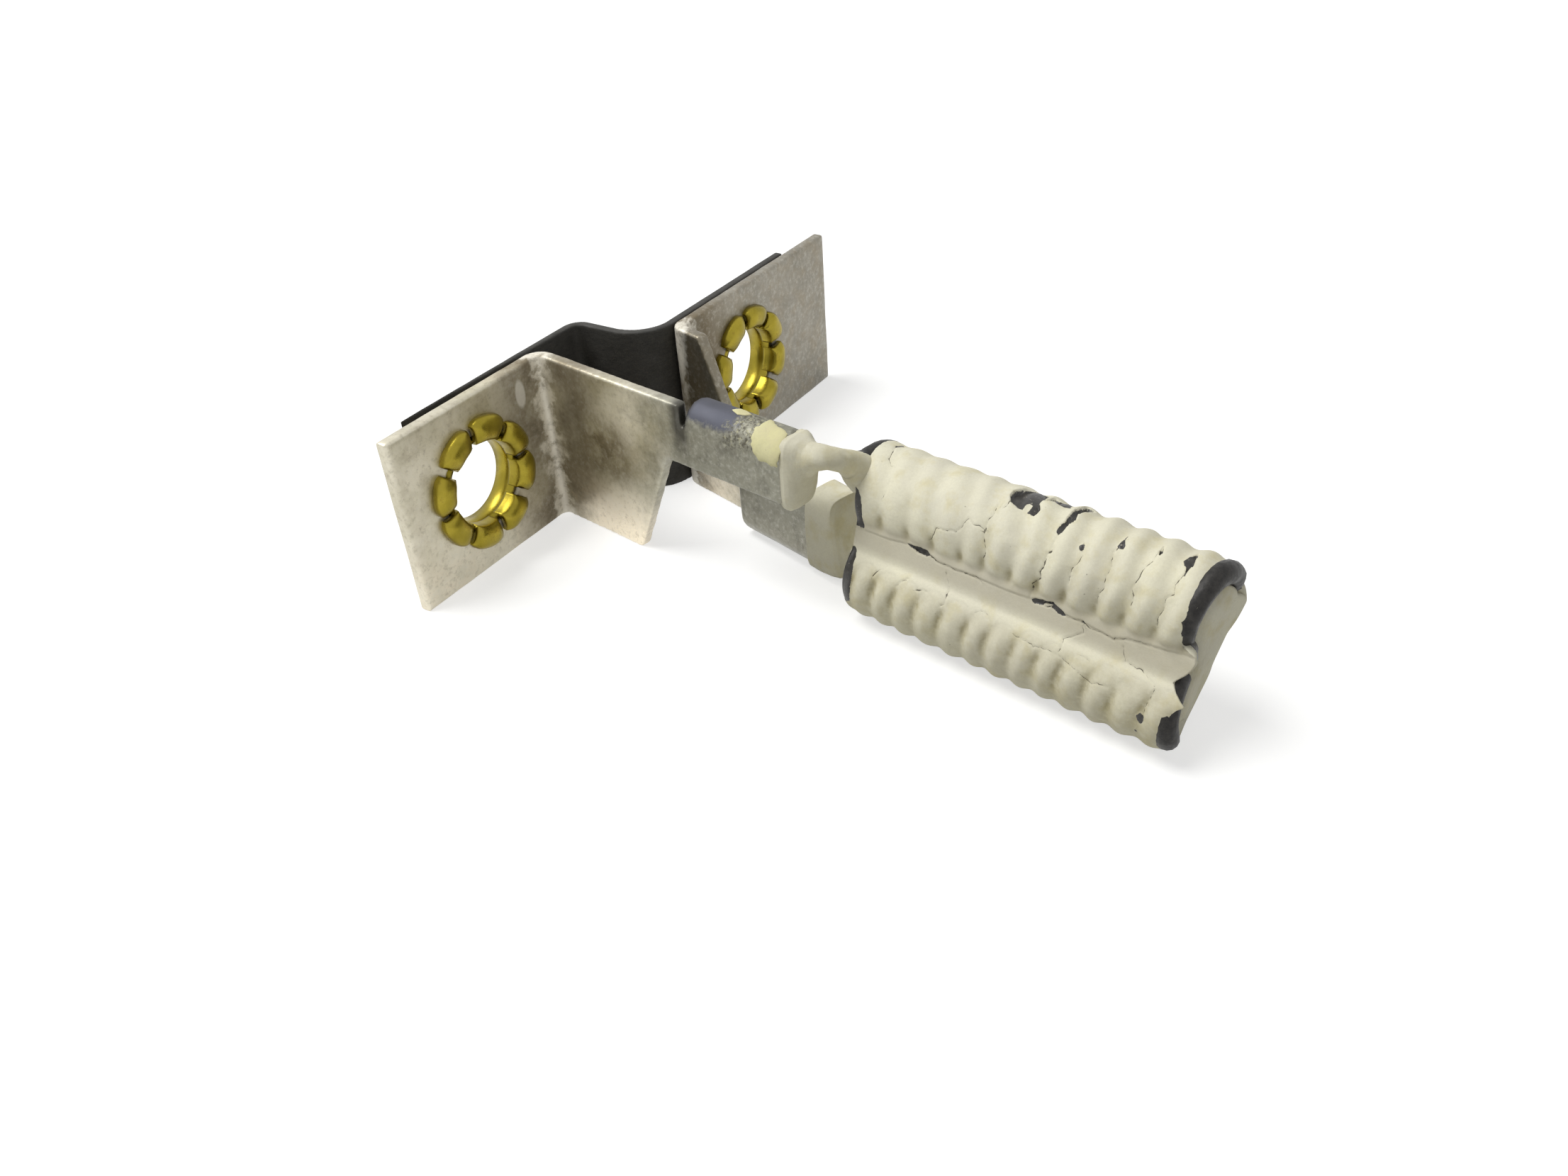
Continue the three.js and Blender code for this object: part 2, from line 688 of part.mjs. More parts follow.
const assembly = new THREE.Group();
assembly.add(terminalLeft, rightSide);
assembly.add(makeInsulator());
assembly.add(makeEyelet('eyelet_left', leftEyeletX, 0));
assembly.add(makeEyelet('eyelet_right', rightEyeletX, -tabStep));
assembly.add(makeHeatingWire());
coilFrame.add(makeJacket(), makeCore());
assembly.add(coilFrame);
assembly.add(makeLeadCement('lead_cement_left', leftLead, 1));
assembly.add(makeLeadCement('lead_cement_right', rightLead, -1));

// The origin is under the middle of the whole part, on the surface that it stands on
const extent = new THREE.Box3().setFromObject(assembly, true);
const middle = extent.getCenter(new THREE.Vector3());
assembly.position.set(-middle.x, -middle.y, -extent.min.z);

export default assembly;
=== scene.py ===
"""Looks of the hot-wire igniter element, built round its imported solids.

Lengths are in millimetres in the maker's frame, whose origin is the left bend corner: X along the
tabs, -Y towards the coils, Z up. row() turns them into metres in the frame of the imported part.
"""

import math

import bpy
import numpy as np
from mathutils import Matrix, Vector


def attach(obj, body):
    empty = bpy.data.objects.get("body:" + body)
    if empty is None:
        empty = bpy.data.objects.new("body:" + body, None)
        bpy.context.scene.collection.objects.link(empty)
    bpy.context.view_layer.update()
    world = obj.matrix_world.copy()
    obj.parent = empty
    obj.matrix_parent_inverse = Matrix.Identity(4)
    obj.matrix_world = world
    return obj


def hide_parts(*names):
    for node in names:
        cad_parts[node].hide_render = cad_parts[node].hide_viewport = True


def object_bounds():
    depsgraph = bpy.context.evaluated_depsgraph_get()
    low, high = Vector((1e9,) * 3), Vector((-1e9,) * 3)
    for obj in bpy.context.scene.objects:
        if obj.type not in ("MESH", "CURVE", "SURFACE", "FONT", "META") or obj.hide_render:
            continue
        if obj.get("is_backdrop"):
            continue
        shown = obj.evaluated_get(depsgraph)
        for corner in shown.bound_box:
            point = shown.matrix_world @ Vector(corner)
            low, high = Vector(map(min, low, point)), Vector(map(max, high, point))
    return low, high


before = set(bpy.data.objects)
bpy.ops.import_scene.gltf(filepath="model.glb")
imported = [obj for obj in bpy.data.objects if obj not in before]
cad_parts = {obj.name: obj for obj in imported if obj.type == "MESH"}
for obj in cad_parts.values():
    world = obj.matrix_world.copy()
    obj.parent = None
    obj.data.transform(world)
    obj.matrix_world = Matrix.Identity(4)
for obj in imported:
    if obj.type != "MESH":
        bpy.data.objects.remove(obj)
cad_low, cad_high = (tuple(corner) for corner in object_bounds())

MM = 0.001
LEFT_TAB_END = -11.15
STACK_BACK = 1.56
SHIFT = np.array([cad_low[0] / MM - LEFT_TAB_END, cad_high[1] / MM - STACK_BACK, 0.0])


def row(points):
    return (np.asarray(points, float) + SHIFT) * MM


# ---- camera, lamps and floor

CAMERA_PLACE = (-45.05, -45.79, 38.14)
CAMERA_YAW, CAMERA_PITCH, CAMERA_ROLL = 55.63, 35.41, -4.29
CAMERA_LENS = 28.73
KEY_PLACE, KEY_TARGET, KEY_SIZE, KEY_POWER = (-200, 380, 880), (0, -15, 0), 620, 8.5
WORLD_STRENGTH = 0.26
FLOOR_SIDE, FLOOR_GLOW = 2000.0, 0.61


def turned_axes(yaw, pitch, roll):
    y, p, r = map(math.radians, (yaw, pitch, roll))
    forward = np.array([math.sin(y) * math.cos(p), math.cos(y) * math.cos(p), -math.sin(p)])
    right = np.array([math.cos(y), -math.sin(y), 0.0])
    up = np.cross(right, forward)
    return (math.cos(r) * right + math.sin(r) * up,
            math.cos(r) * up - math.sin(r) * right, -forward)


def add_object(name, data):
    obj = bpy.data.objects.new(name, data)
    bpy.context.scene.collection.objects.link(obj)
    return obj


def make_camera():
    camera = add_object("camera", bpy.data.cameras.new("camera"))
    camera.data.lens = CAMERA_LENS
    camera.data.clip_start = 0.001
    matrix = np.eye(4)
    matrix[:3, :3] = np.array(turned_axes(CAMERA_YAW, CAMERA_PITCH, CAMERA_ROLL)).T
    matrix[:3, 3] = row(CAMERA_PLACE)
    camera.matrix_world = Matrix(matrix)
    bpy.context.scene.camera = camera


def area_lamp(name, place, target, size, power):
    lamp = bpy.data.lights.new(name, "AREA")
    lamp.shape = "DISK"
    lamp.size = size * MM
    lamp.energy = power
    obj = add_object(name, lamp)
    start, end = row(place), row(target)
    obj.location = start
    away = (start - end) / np.linalg.norm(start - end)
    side = np.cross([0.0, 1.0, 0.0], away)
    side /= np.linalg.norm(side)
    direction = np.array([side, np.cross(away, side), away]).T
    obj.rotation_euler = Matrix(direction.tolist()).to_euler()


def seen_directly(tree):
    """1 for rays of the camera, gloss and glass, which see the studio as white, and else 0."""
    rays = tree.nodes.new("ShaderNodeLightPath")
    seen = rays.outputs["Is Camera Ray"]
    for kind in ("Is Glossy Ray", "Is Transmission Ray"):
        larger = tree.nodes.new("ShaderNodeMath")
        larger.operation = "MAXIMUM"
        tree.links.new(seen, larger.inputs[0])
        tree.links.new(rays.outputs[kind], larger.inputs[1])
        seen = larger.outputs[0]
    return seen


def make_world():
    world = bpy.data.worlds.new("studio")
    bpy.context.scene.world = world
    world.use_nodes = True
    tree = world.node_tree
    background = tree.nodes["Background"]
    background.inputs["Color"].default_value = (1.0, 1.0, 1.0, 1.0)
    level = tree.nodes.new("ShaderNodeMapRange")
    level.inputs["To Min"].default_value = WORLD_STRENGTH
    level.inputs["To Max"].default_value = 1.0
    tree.links.new(seen_directly(tree), level.inputs["Value"])
    tree.links.new(level.outputs["Result"], background.inputs["Strength"])


# ---- noise and meshes

RNG = np.random.default_rng(11)
LATTICE = RNG.random((32, 32, 32))


def noise(points, size, seed=0):
    """Smooth noise from -1 to 1 with features of about the given size."""
    q = np.asarray(points, float) / size + seed * 7.31
    cell = np.floor(q).astype(int)
    f = q - cell
    f = f * f * (3 - 2 * f)
    total = np.zeros(len(q))
    for corner in np.ndindex(2, 2, 2):
        weight = np.prod(np.where(corner, f, 1 - f), axis=1)
        x, y, z = ((cell + corner) % 32).T
        total += weight * LATTICE[x, y, z]
    return 2 * total - 1


def smooth(low, high, value):
    t = np.clip((np.asarray(value, float) - low) / (high - low), 0, 1)
    return t * t * (3 - 2 * t)


def mesh_piece(name, points, faces, material, attributes=None):
    mesh = bpy.data.meshes.new(name)
    mesh.from_pydata(row(points).tolist(), [], [tuple(int(i) for i in f) for f in faces])
    mesh.update()
    mesh.polygons.foreach_set("use_smooth", [True] * len(mesh.polygons))
    for key, values in (attributes or {}).items():
        layer = mesh.attributes.new(key, "FLOAT", "POINT")
        layer.data.foreach_set("value", np.asarray(values, np.float32))
    mesh.materials.append(material)
    return add_object(name, mesh)


def grid_faces(rows, columns, start=0):
    """Quads of a grid that closes on itself across its columns."""
    i, k = np.meshgrid(np.arange(rows - 1), np.arange(columns), indexing="ij")
    a = start + i * columns + k
    b = start + i * columns + (k + 1) % columns
    return np.stack([a, b, b + columns, a + columns], axis=-1).reshape(-1, 4)


def fan_faces(ring, apex, flip):
    ring = list(ring)
    after = ring[1:] + ring[:1]
    return [(b, a, apex) if flip else (a, b, apex) for a, b in zip(ring, after)]


def capped_tube(rings):
    """Points and faces of a tube skinned over rings, with a middle point at both ends."""
    rings = np.asarray(rings)
    count, sides = rings.shape[:2]
    points = np.concatenate([rings.reshape(-1, 3), rings[:1].mean(axis=1),
                             rings[-1:].mean(axis=1)])
    faces = [tuple(f) for f in grid_faces(count, sides)]
    faces += fan_faces(range(sides), count * sides, True)
    faces += fan_faces(range((count - 1) * sides, count * sides), count * sides + 1, False)
    return points, faces


def outward(points, faces):
    """Turns all faces over if the closed mesh is inside out."""
    p = np.asarray(points)
    volume = 0.0
    for f in faces:
        for k in range(1, len(f) - 1):
            volume += np.dot(p[f[0]], np.cross(p[f[k]], p[f[k + 1]]))
    return faces if volume > 0 else [tuple(reversed(f)) for f in faces]


# ---- material nodes


class Nodes:
    """Short names for building one material's nodes."""

    def __init__(self, name):
        self.material = bpy.data.materials.new(name)
        self.material.use_nodes = True
        self.tree = self.material.node_tree
        self.shader = self.tree.nodes["Principled BSDF"]
        self.place = self.add("ShaderNodeTexCoord").outputs["Object"]

    def add(self, kind, **settings):
        node = self.tree.nodes.new(kind)
        for key, value in settings.items():
            setattr(node, key, value)
        return node

    def link(self, source, target):
        if isinstance(source, (int, float, tuple)):
            target.default_value = source
        else:
            self.tree.links.new(source, target)

    def noise(self, size, detail=4.0, rough=0.55, stretch=None):
        place = self.place
        if stretch:
            mapping = self.add("ShaderNodeMapping")
            mapping.inputs["Scale"].default_value = stretch
            self.link(place, mapping.inputs["Vector"])
            place = mapping.outputs["Vector"]
        node = self.add("ShaderNodeTexNoise")
        self.link(place, node.inputs["Vector"])
        node.inputs["Scale"].default_value = 1 / (size * MM)
        node.inputs["Detail"].default_value = detail
        node.inputs["Roughness"].default_value = rough
        return node.outputs["Fac"]

    def spots(self, size, low, high):
        node = self.add("ShaderNodeTexVoronoi")
        self.link(self.place, node.inputs["Vector"])
        node.inputs["Scale"].default_value = 1 / (size * MM)
        return self.span(node.outputs["Distance"], low, high, 1.0, 0.0)

    def along(self, origin, direction):
        """Distance in millimetres from a point of the maker's frame in a direction."""
        start = self.add("ShaderNodeVectorMath", operation="SUBTRACT")
        self.link(self.place, start.inputs[0])
        start.inputs[1].default_value = tuple(row(origin))
        dot = self.add("ShaderNodeVectorMath", operation="DOT_PRODUCT")
        self.link(start.outputs[0], dot.inputs[0])
        dot.inputs[1].default_value = tuple(np.asarray(direction, float) / MM)
        return dot.outputs["Value"]

    def product(self, first, *others):
        for factor in others:
            first = self.math("MULTIPLY", first, factor)
        return first

    def attribute(self, name):
        return self.add("ShaderNodeAttribute", attribute_name=name).outputs["Fac"]

    def span(self, value, low, high, to_low=0.0, to_high=1.0):
        node = self.add("ShaderNodeMapRange")
        for key, number in (("From Min", low), ("From Max", high),
                            ("To Min", to_low), ("To Max", to_high)):
            node.inputs[key].default_value = number
        self.link(value, node.inputs["Value"])
        return node.outputs["Result"]

    def math(self, operation, a, b=0.0):
        node = self.add("ShaderNodeMath", operation=operation)
        self.link(a, node.inputs[0])
        self.link(b, node.inputs[1])
        return node.outputs[0]

    def plus(self, a, b):
        return self.math("ADD", a, b)

    def minus(self, a, b):
        return self.math("SUBTRACT", a, b)

    def size(self, value):
        return self.math("ABSOLUTE", value)

    def mix(self, factor, a, b):
        node = self.add("ShaderNodeMix", data_type="RGBA")
        self.link(factor, node.inputs["Factor"])
        self.link(a, node.inputs[6])
        self.link(b, node.inputs[7])
        return node.outputs[2]

    def bump(self, height, distance, strength):
        node = self.add("ShaderNodeBump")
        node.inputs["Strength"].default_value = strength
        node.inputs["Distance"].default_value = distance * MM
        self.link(height, node.inputs["Height"])
        return node.outputs["Normal"]

    def finish(self, color, roughness, metallic=0.0, normal=None):
        self.link(color, self.shader.inputs["Base Color"])
        self.link(roughness, self.shader.inputs["Roughness"])
        self.link(metallic, self.shader.inputs["Metallic"])
        if normal is not None:
            self.link(normal, self.shader.inputs["Normal"])
        return self.material


def rgb(red, green, blue):
    """A colour written as it looks, from 0 to 255."""
    def linear(v):
        v /= 255
        return v / 12.92 if v <= 0.04045 else ((v + 0.055) / 1.055) ** 2.4
    return (linear(red), linear(green), linear(blue), 1.0)


def cement_material(name, light, dark):
    n = Nodes(name)
    clouds = n.noise(2.6, 4.0)
    grain = n.noise(0.12, 6.0, 0.7)
    color = n.mix(n.span(clouds, 0.35, 0.65), light, dark)
    warm = n.span(n.noise(1.2, 4.0, 0.6), 0.5, 0.68)
    color = n.mix(n.product(warm, 0.65), color, rgb(218, 209, 168))
    # painted shade: the flat web between the coils is made greyer and darker
    color = n.mix(n.product(n.attribute("web"), 0.8), color, rgb(200, 194, 174))
    # the tint attribute darkens the cement to olive: painted shade and dirt in the coat's hollows,
    # painted shade at its far end, on its lower coil and where its far face sinks, and an olive
    # tint on the leads
    tint = n.product(n.attribute("tint"), n.span(n.noise(0.4, 4.0, 0.65), 0.3, 0.6, 0.5, 1.0))
    color = n.mix(n.span(tint, 0.0, 1.0, 0.0, 0.8), color, rgb(158, 148, 108))
    color = n.mix(n.span(grain, 0.35, 0.75, 0.0, 0.22), color, rgb(178, 172, 150))
    pits = n.product(n.spots(0.6, 0.0, 0.07), n.span(n.noise(1.1, 1.0), 0.5, 0.6))
    color = n.mix(n.product(pits, 0.75), color, rgb(96, 84, 62))
    # cracks: dark inside their width, which wanders
    side = n.size(n.attribute("crack_side"))
    width = n.span(n.noise(0.3, 3.0), 0.38, 0.62, -0.016, 0.019)
    weight = n.attribute("crack_weight")
    width = n.minus(n.product(width, weight), n.span(weight, 0.0, 1.0, 0.012, 0.0))
    line = n.minus(width, side)
    crack = n.span(line, -0.012, 0.004)
    color = n.mix(n.product(crack, 0.85), color, rgb(62, 56, 46))
    # chips: the oxidised wire shows, with flecks of cement left on it
    edge = n.product(n.span(n.noise(0.09, 3.0), 0.25, 0.75, -1.0, 1.0), 0.02)
    chip = n.plus(n.attribute("chip"), edge)
    bare = n.span(chip, 0.006, -0.006)
    scale = n.noise(0.25, 5.0, 0.7)
    metal = n.mix(n.span(scale, 0.35, 0.7), rgb(32, 31, 28), rgb(60, 57, 53))
    fleck = n.span(n.noise(0.2, 6.0, 0.75), 0.63, 0.7)
    metal = n.mix(fleck, metal, rgb(196, 190, 172))
    color = n.mix(bare, color, metal)
    height = n.plus(n.product(grain, 0.6), n.product(n.noise(0.35, 3.0), 0.5))
    height = n.minus(n.minus(height, n.product(pits, 1.2)), crack)
    rough = n.span(bare, 0.0, 1.0, 0.88, 0.4)
    return n.finish(color, rough, 0.0, n.bump(height, 0.035, 0.6))


def wire_material():
    n = Nodes("wire_oxide")
    scale = n.noise(0.3, 5.0, 0.7)
    color = n.mix(n.span(scale, 0.35, 0.7), rgb(30, 29, 28), rgb(56, 54, 51))
    color = n.mix(n.span(n.noise(0.25, 6.0, 0.75), 0.68, 0.76), color, rgb(176, 172, 160))
    rough = n.span(n.noise(0.5, 4.0), 0.3, 0.7, 0.34, 0.6)
    return n.finish(color, rough, 0.55, n.bump(n.noise(0.16, 5.0, 0.65), 0.03, 0.5))


MARK_PLACE, MARK_SIZE = (1.8, 8.45), (0.36, 0.78)
PATCH_BEFORE_ROLL, PATCH_HEIGHT = 5.9, 5.6
SHEET_METAL = 0.85


def terminal_material(name, bend_place, arm_way, tab_way, rolled, dark, light, stained):
    """Nickel-plated sheet: dull and mottled, browned at its bend, blued by heat at its crimp.
    The crimp starts at the distance rolled along the arm."""
    n = Nodes(name)
    broad = n.noise(3.0, 4.0, 0.6)
    middling = n.noise(0.9, 5.0, 0.65)
    fine = n.noise(0.28, 5.0, 0.7)
    height = n.along((0, 0, 0), (0, 0, 1))
    arm = n.along(bend_place, arm_way)
    tab = n.along(bend_place, tab_way)
    wander = n.span(middling, 0.25, 0.75, -0.9, 0.9)
    arm_edge, tab_edge = n.plus(arm, wander), n.plus(tab, wander)
    color = n.mix(n.span(broad, 0.35, 0.65), dark, light)
    color = n.mix(n.span(middling, 0.45, 0.7, 0.0, stained), color, rgb(146, 134, 112))
    # browner and darker on both sides of the bend
    bend = n.product(n.span(tab_edge, 4.6, 1.8), n.span(arm_edge, 6.5, 3.0))
    color = n.mix(n.product(bend, n.span(broad, 0.4, 0.6, 0.3, 0.8)), color, rgb(112, 99, 74))
    # painted highlight: a pale band along the bend
    bend_highlight = n.product(n.span(n.plus(n.size(arm), wander), 0.9, 0.3), n.span(tab_edge, 0.9, 0.3))
    color = n.mix(n.product(bend_highlight, 0.7), color, rgb(240, 236, 224))
    # painted reflection of the table on the lower part of the arm, and a dark patch in the arm's
    # middle
    table_reflection = n.product(n.span(arm_edge, 0.8, 3.0), n.span(height, 4.0, 1.0))
    color = n.mix(n.product(table_reflection, 0.85), color, rgb(250, 238, 214))
    patch = n.product(n.span(n.size(n.minus(arm_edge, rolled - PATCH_BEFORE_ROLL)), 2.4, 0.8),
                      n.span(n.size(n.minus(height, PATCH_HEIGHT)), 2.4, 0.8))
    color = n.mix(n.product(patch, n.span(middling, 0.35, 0.6, 0.4, 0.9)), color,
                  rgb(112, 101, 78))
    # heat tint towards the crimp, and smut on it
    hot = n.span(arm_edge, rolled - 4.6, rolled - 0.6)
    color = n.mix(n.product(hot, 0.88), color, rgb(126, 126, 114))
    smut = n.product(n.span(arm_edge, rolled - 0.6, rolled + 0.5),
                     n.span(middling, 0.5, 0.66, 0.0, 0.55))
    color = n.mix(smut, color, rgb(96, 94, 84))
    color = n.mix(n.span(fine, 0.5, 0.72, 0.0, 0.3), color, rgb(216, 213, 203))
    color = n.mix(n.span(fine, 0.48, 0.3, 0.0, 0.35), color, rgb(118, 110, 94))
    rough = n.minus(n.span(broad, 0.3, 0.7, 0.34, 0.52), n.product(table_reflection, 0.18))
    rough = n.plus(rough, n.product(n.span(n.size(arm), 0.8, 0.2), 0.3))
    metal = SHEET_METAL
    if tab_way[0] < 0:
        color, rough, metal = left_marks(n, color, rough, (broad, middling, fine),
                                         (tab, arm, height), rolled)
    relief = n.plus(middling, n.product(fine, 0.5))
    return n.finish(color, rough, metal, n.bump(relief, 0.03, 0.45))


def left_marks(n, color, rough, noises, places, rolled):
    """What only the left terminal has: a pale oval mark on its tab, and on its crimp the roll's
    blue-black oxide, painted shade in a dark notch, and a crust."""
    broad, middling, fine = noises
    tab, arm, height = places
    mark_x = n.math("DIVIDE", n.minus(tab, MARK_PLACE[0]), MARK_SIZE[0])
    mark_z = n.math("DIVIDE", n.minus(height, MARK_PLACE[1]), MARK_SIZE[1])
    mark = n.plus(n.product(mark_x, mark_x), n.product(mark_z, mark_z))
    color = n.mix(n.product(n.span(mark, 1.3, 0.7), n.span(arm, 1.2, 0.8), 0.6), color,
                  rgb(238, 236, 228))
    top = n.plus(height, n.span(middling, 0.25, 0.75, -0.25, 0.25))
    end = n.plus(arm, n.span(middling, 0.25, 0.75, -0.7, 0.7))
    oxide = n.product(n.span(arm, rolled - 0.2, rolled), n.span(end, rolled + 3.45, rolled + 2.65),
                      n.span(top, 9.25, 9.5))
    color = n.mix(oxide, color, n.mix(broad, rgb(72, 72, 78), rgb(104, 106, 116)))
    # painted shade: dark colour in the notch at the start of the crimp
    notch = n.product(n.span(arm, rolled - 1.05, rolled - 0.55),
                      n.span(arm, rolled + 0.35, rolled - 0.05), n.span(top, 7.4, 8.3))
    color = n.mix(n.product(notch, 0.8), color, rgb(58, 56, 52))
    crust = n.product(n.span(end, rolled + 2.45, rolled + 3.05),
                      n.span(arm, rolled + 5.65, rolled + 4.45), n.span(top, 8.7, 9.1),
                      n.span(n.noise(0.16, 5.0, 0.7), 0.46, 0.58))
    color = n.mix(crust, color, n.mix(n.span(fine, 0.5, 0.6), rgb(84, 80, 66),
                                      rgb(182, 178, 146)))
    burnt = n.product(n.span(top, 8.6, 9.2), n.span(arm, rolled - 0.25, rolled + 0.05), 0.22)
    return color, n.plus(rough, burnt), n.span(crust, 0.0, 1.0, SHEET_METAL, 0.1)


def brass_material():
    n = Nodes("brass")
    color = n.mix(n.span(n.noise(1.0, 4.0), 0.35, 0.65), rgb(138, 124, 40), rgb(162, 146, 54))
    color = n.mix(n.span(n.noise(0.5, 5.0, 0.7), 0.55, 0.7, 0.0, 0.6), color, rgb(122, 104, 40))
    rough = n.span(n.noise(0.7, 4.0), 0.3, 0.7, 0.22, 0.42)
    return n.finish(color, rough, 0.95, n.bump(n.noise(0.3, 4.0), 0.02, 0.35))


def insulator_material():
    n = Nodes("insulating_sheet")
    fibre = n.noise(0.5, 6.0, 0.7, (1.0, 1.0, 3.0))
    color = n.mix(n.span(fibre, 0.3, 0.7), rgb(38, 37, 34), rgb(62, 60, 55))
    color = n.mix(n.span(n.noise(0.2, 5.0, 0.8), 0.6, 0.72, 0.0, 0.5), color, rgb(98, 95, 88))
    rough = n.span(n.noise(1.2, 4.0), 0.3, 0.7, 0.55, 0.8)
    return n.finish(color, rough, 0.0, n.bump(fibre, 0.04, 0.6))


# ---- the coil block

COIL_YAW, COIL_ROLL = math.radians(-9.6), math.radians(17)
AXIS_HEIGHT = 2.14
LOBE_RADIUS, CREST_RADIUS = 2.26, 2.33
WEB_HALF_WIDTH, WEB_HALF_HEIGHT, WEB_BLEND = 1.78, 1.2, 0.1
COIL_START = np.array([0.63, -20.24, CREST_RADIUS + AXIS_HEIGHT * math.cos(COIL_ROLL)])
HALF_OUTLINE, CREST_ARC = 11.65, 5.8

UPPER_FAR, UPPER_PITCH = 17.3, 1.452
LOWER_FAR, LOWER_PITCH = 17.28, 1.31


def coil_matrix():
    cy, sy = math.cos(COIL_YAW), math.sin(COIL_YAW)
    cr, sr = math.cos(COIL_ROLL), math.sin(COIL_ROLL)
    yaw = np.array([[cy, -sy, 0], [sy, cy, 0], [0, 0, 1]])
    roll = np.array([[cr, 0, sr], [0, 1, 0], [-sr, 0, cr]])
    return yaw @ roll


COIL = coil_matrix()


def from_coil(points):
    """From the block's own frame (right, along the coils, up) to the maker's frame."""
    p = np.asarray(points, float) * (1, -1, 1)
    return p @ COIL.T + COIL_START


def block_section(count):
    """Evenly spaced outline of the block: arc position from the left, x, z and the normal."""
    phi = math.pi - np.linspace(-math.pi, math.pi, 4097)
    c, s = np.cos(phi), np.sin(phi)
    reach = np.sqrt(LOBE_RADIUS**2 - (AXIS_HEIGHT * c) ** 2)
    lobes = AXIS_HEIGHT * np.abs(s) + reach
    web = WEB_HALF_WIDTH / np.maximum(np.abs(c), 1e-6)
    near = np.abs(web * s) < WEB_HALF_HEIGHT
    blended = 0.5 * (lobes + web + np.sqrt((lobes - web) ** 2 + WEB_BLEND**2))
    radius = np.where(near, blended, lobes)
    x, z = radius * c, radius * s
    length = np.concatenate([[0], np.cumsum(np.hypot(np.diff(x), np.diff(z)))])
    middle = np.interp(math.pi, phi[::-1], length[::-1])
    arc = (np.arange(count) + 0.5) / count * length[-1]
    px, pz = np.interp(arc, length, x), np.interp(arc, length, z)
    dx = np.roll(px, -1) - np.roll(px, 1)
    dz = np.roll(pz, -1) - np.roll(pz, 1)
    size = np.hypot(dx, dz)
    nx, nz = -dz / size, dx / size
    if np.sum(nx * px + nz * pz) < 0:
        nx, nz = -nx, -nz
    return arc - middle, px, pz, nx, nz


# Bare places on the cement, as outlines of (distance along the coils, arc from the left side)
BARE = [
    [(7.45, 4.88), (7.45, 5.3), (7.66, 5.9), (8.0, 6.3), (8.5, 6.3), (8.95, 5.9), (8.83, 5.03),
     (9.16, 4.64), (9.04, 4.25), (8.62, 4.25), (8.17, 4.34), (7.75, 4.49)],
    [(9.0, 5.3), (9.13, 5.9), (9.9, 6.1), (10.1, 5.6), (9.73, 5.52), (9.3, 5.6)],
    [(10.33, 5.33), (10.6, 6.2), (10.95, 6.3), (10.84, 5.6), (10.69, 5.12), (10.84, 4.76),
     (10.69, 4.49), (10.66, 4.31), (10.63, 4.04), (10.54, 3.68), (10.36, 3.89), (10.3, 4.16),
     (10.45, 4.49), (10.36, 4.85)],
    [(13.06, 4.28), (13.09, 4.7), (13.18, 5.06), (13.24, 4.73), (13.39, 4.43), (13.39, 4.22),
     (13.21, 4.19)],
    [(14.77, 4.6), (14.78, 5.06), (14.9, 4.7), (14.86, 4.5)],
    [(15.88, 4.73), (15.88, 5.15), (16.12, 5.51), (16.21, 5.24), (16.18, 5.0), (16.3, 4.61),
     (16.24, 4.43), (16.24, 4.04), (16.15, 4.04), (16.12, 4.43), (15.94, 4.55)],
    [(11.65, 3.65), (11.74, 3.78), (11.83, 3.6), (11.74, 3.5)],
    [(9.94, 0.36), (10.2, 0.5), (10.6, 0.52), (11.05, 0.65), (11.32, 0.5), (11.56, 0.41),
     (11.83, 0.23), (11.62, 0.13), (11.32, 0.26), (11.02, 0.36), (10.54, 0.26), (10.18, 0.24)],
    [(12.43, 0.27), (12.61, 0.42), (12.79, 0.22), (12.67, 0.15), (12.55, 0.2)],
    [(3.13, 0.62), (3.82, 0.68), (4.39, 0.62), (4.6, 0.47), (4.21, 0.33), (3.82, 0.33),
     (3.46, 0.41)],
    [(16.06, -2.68), (16.18, -2.47), (16.36, -2.56), (16.33, -2.86), (16.27, -2.98),
     (16.12, -2.86)],
    [(16.0, -3.58), (16.09, -3.49), (16.14, -3.62), (16.02, -3.74)],
    [(0.49, 5.57), (0.67, 6.11), (0.82, 5.9), (0.64, 5.45)],
    [(-0.2, 2.6), (0.2, 2.5), (0.52, 2.0), (0.6, 1.5), (0.55, 1.0), (0.6, 0.45), (0.1, 0.5),
     (-0.2, 1.2)],
    [(-0.2, -0.7), (0.35, -0.6), (0.55, -1.1), (0.65, -1.6), (0.66, -2.2), (0.62, -2.86),
     (0.5, -3.6), (0.2, -3.9), (-0.2, -3.6)],
    [(-0.7, 3.9), (-0.45, 3.4), (-0.1, 3.5), (-0.02, 3.9), (-0.2, 4.3), (-0.28, 4.8),
     (-0.2, 5.6), (-0.15, 6.6), (-0.7, 6.8)],
]

# Flakes of cement left standing in the bare places
FLAKES = [
    [(8.36, 4.15), (8.36, 4.6), (8.46, 4.85), (8.66, 4.8), (8.74, 4.4), (8.6, 4.1)],
    [(10.5, 0.33), (10.75, 0.42), (11.0, 0.5), (11.1, 0.44), (10.85, 0.36), (10.6, 0.29)],
]

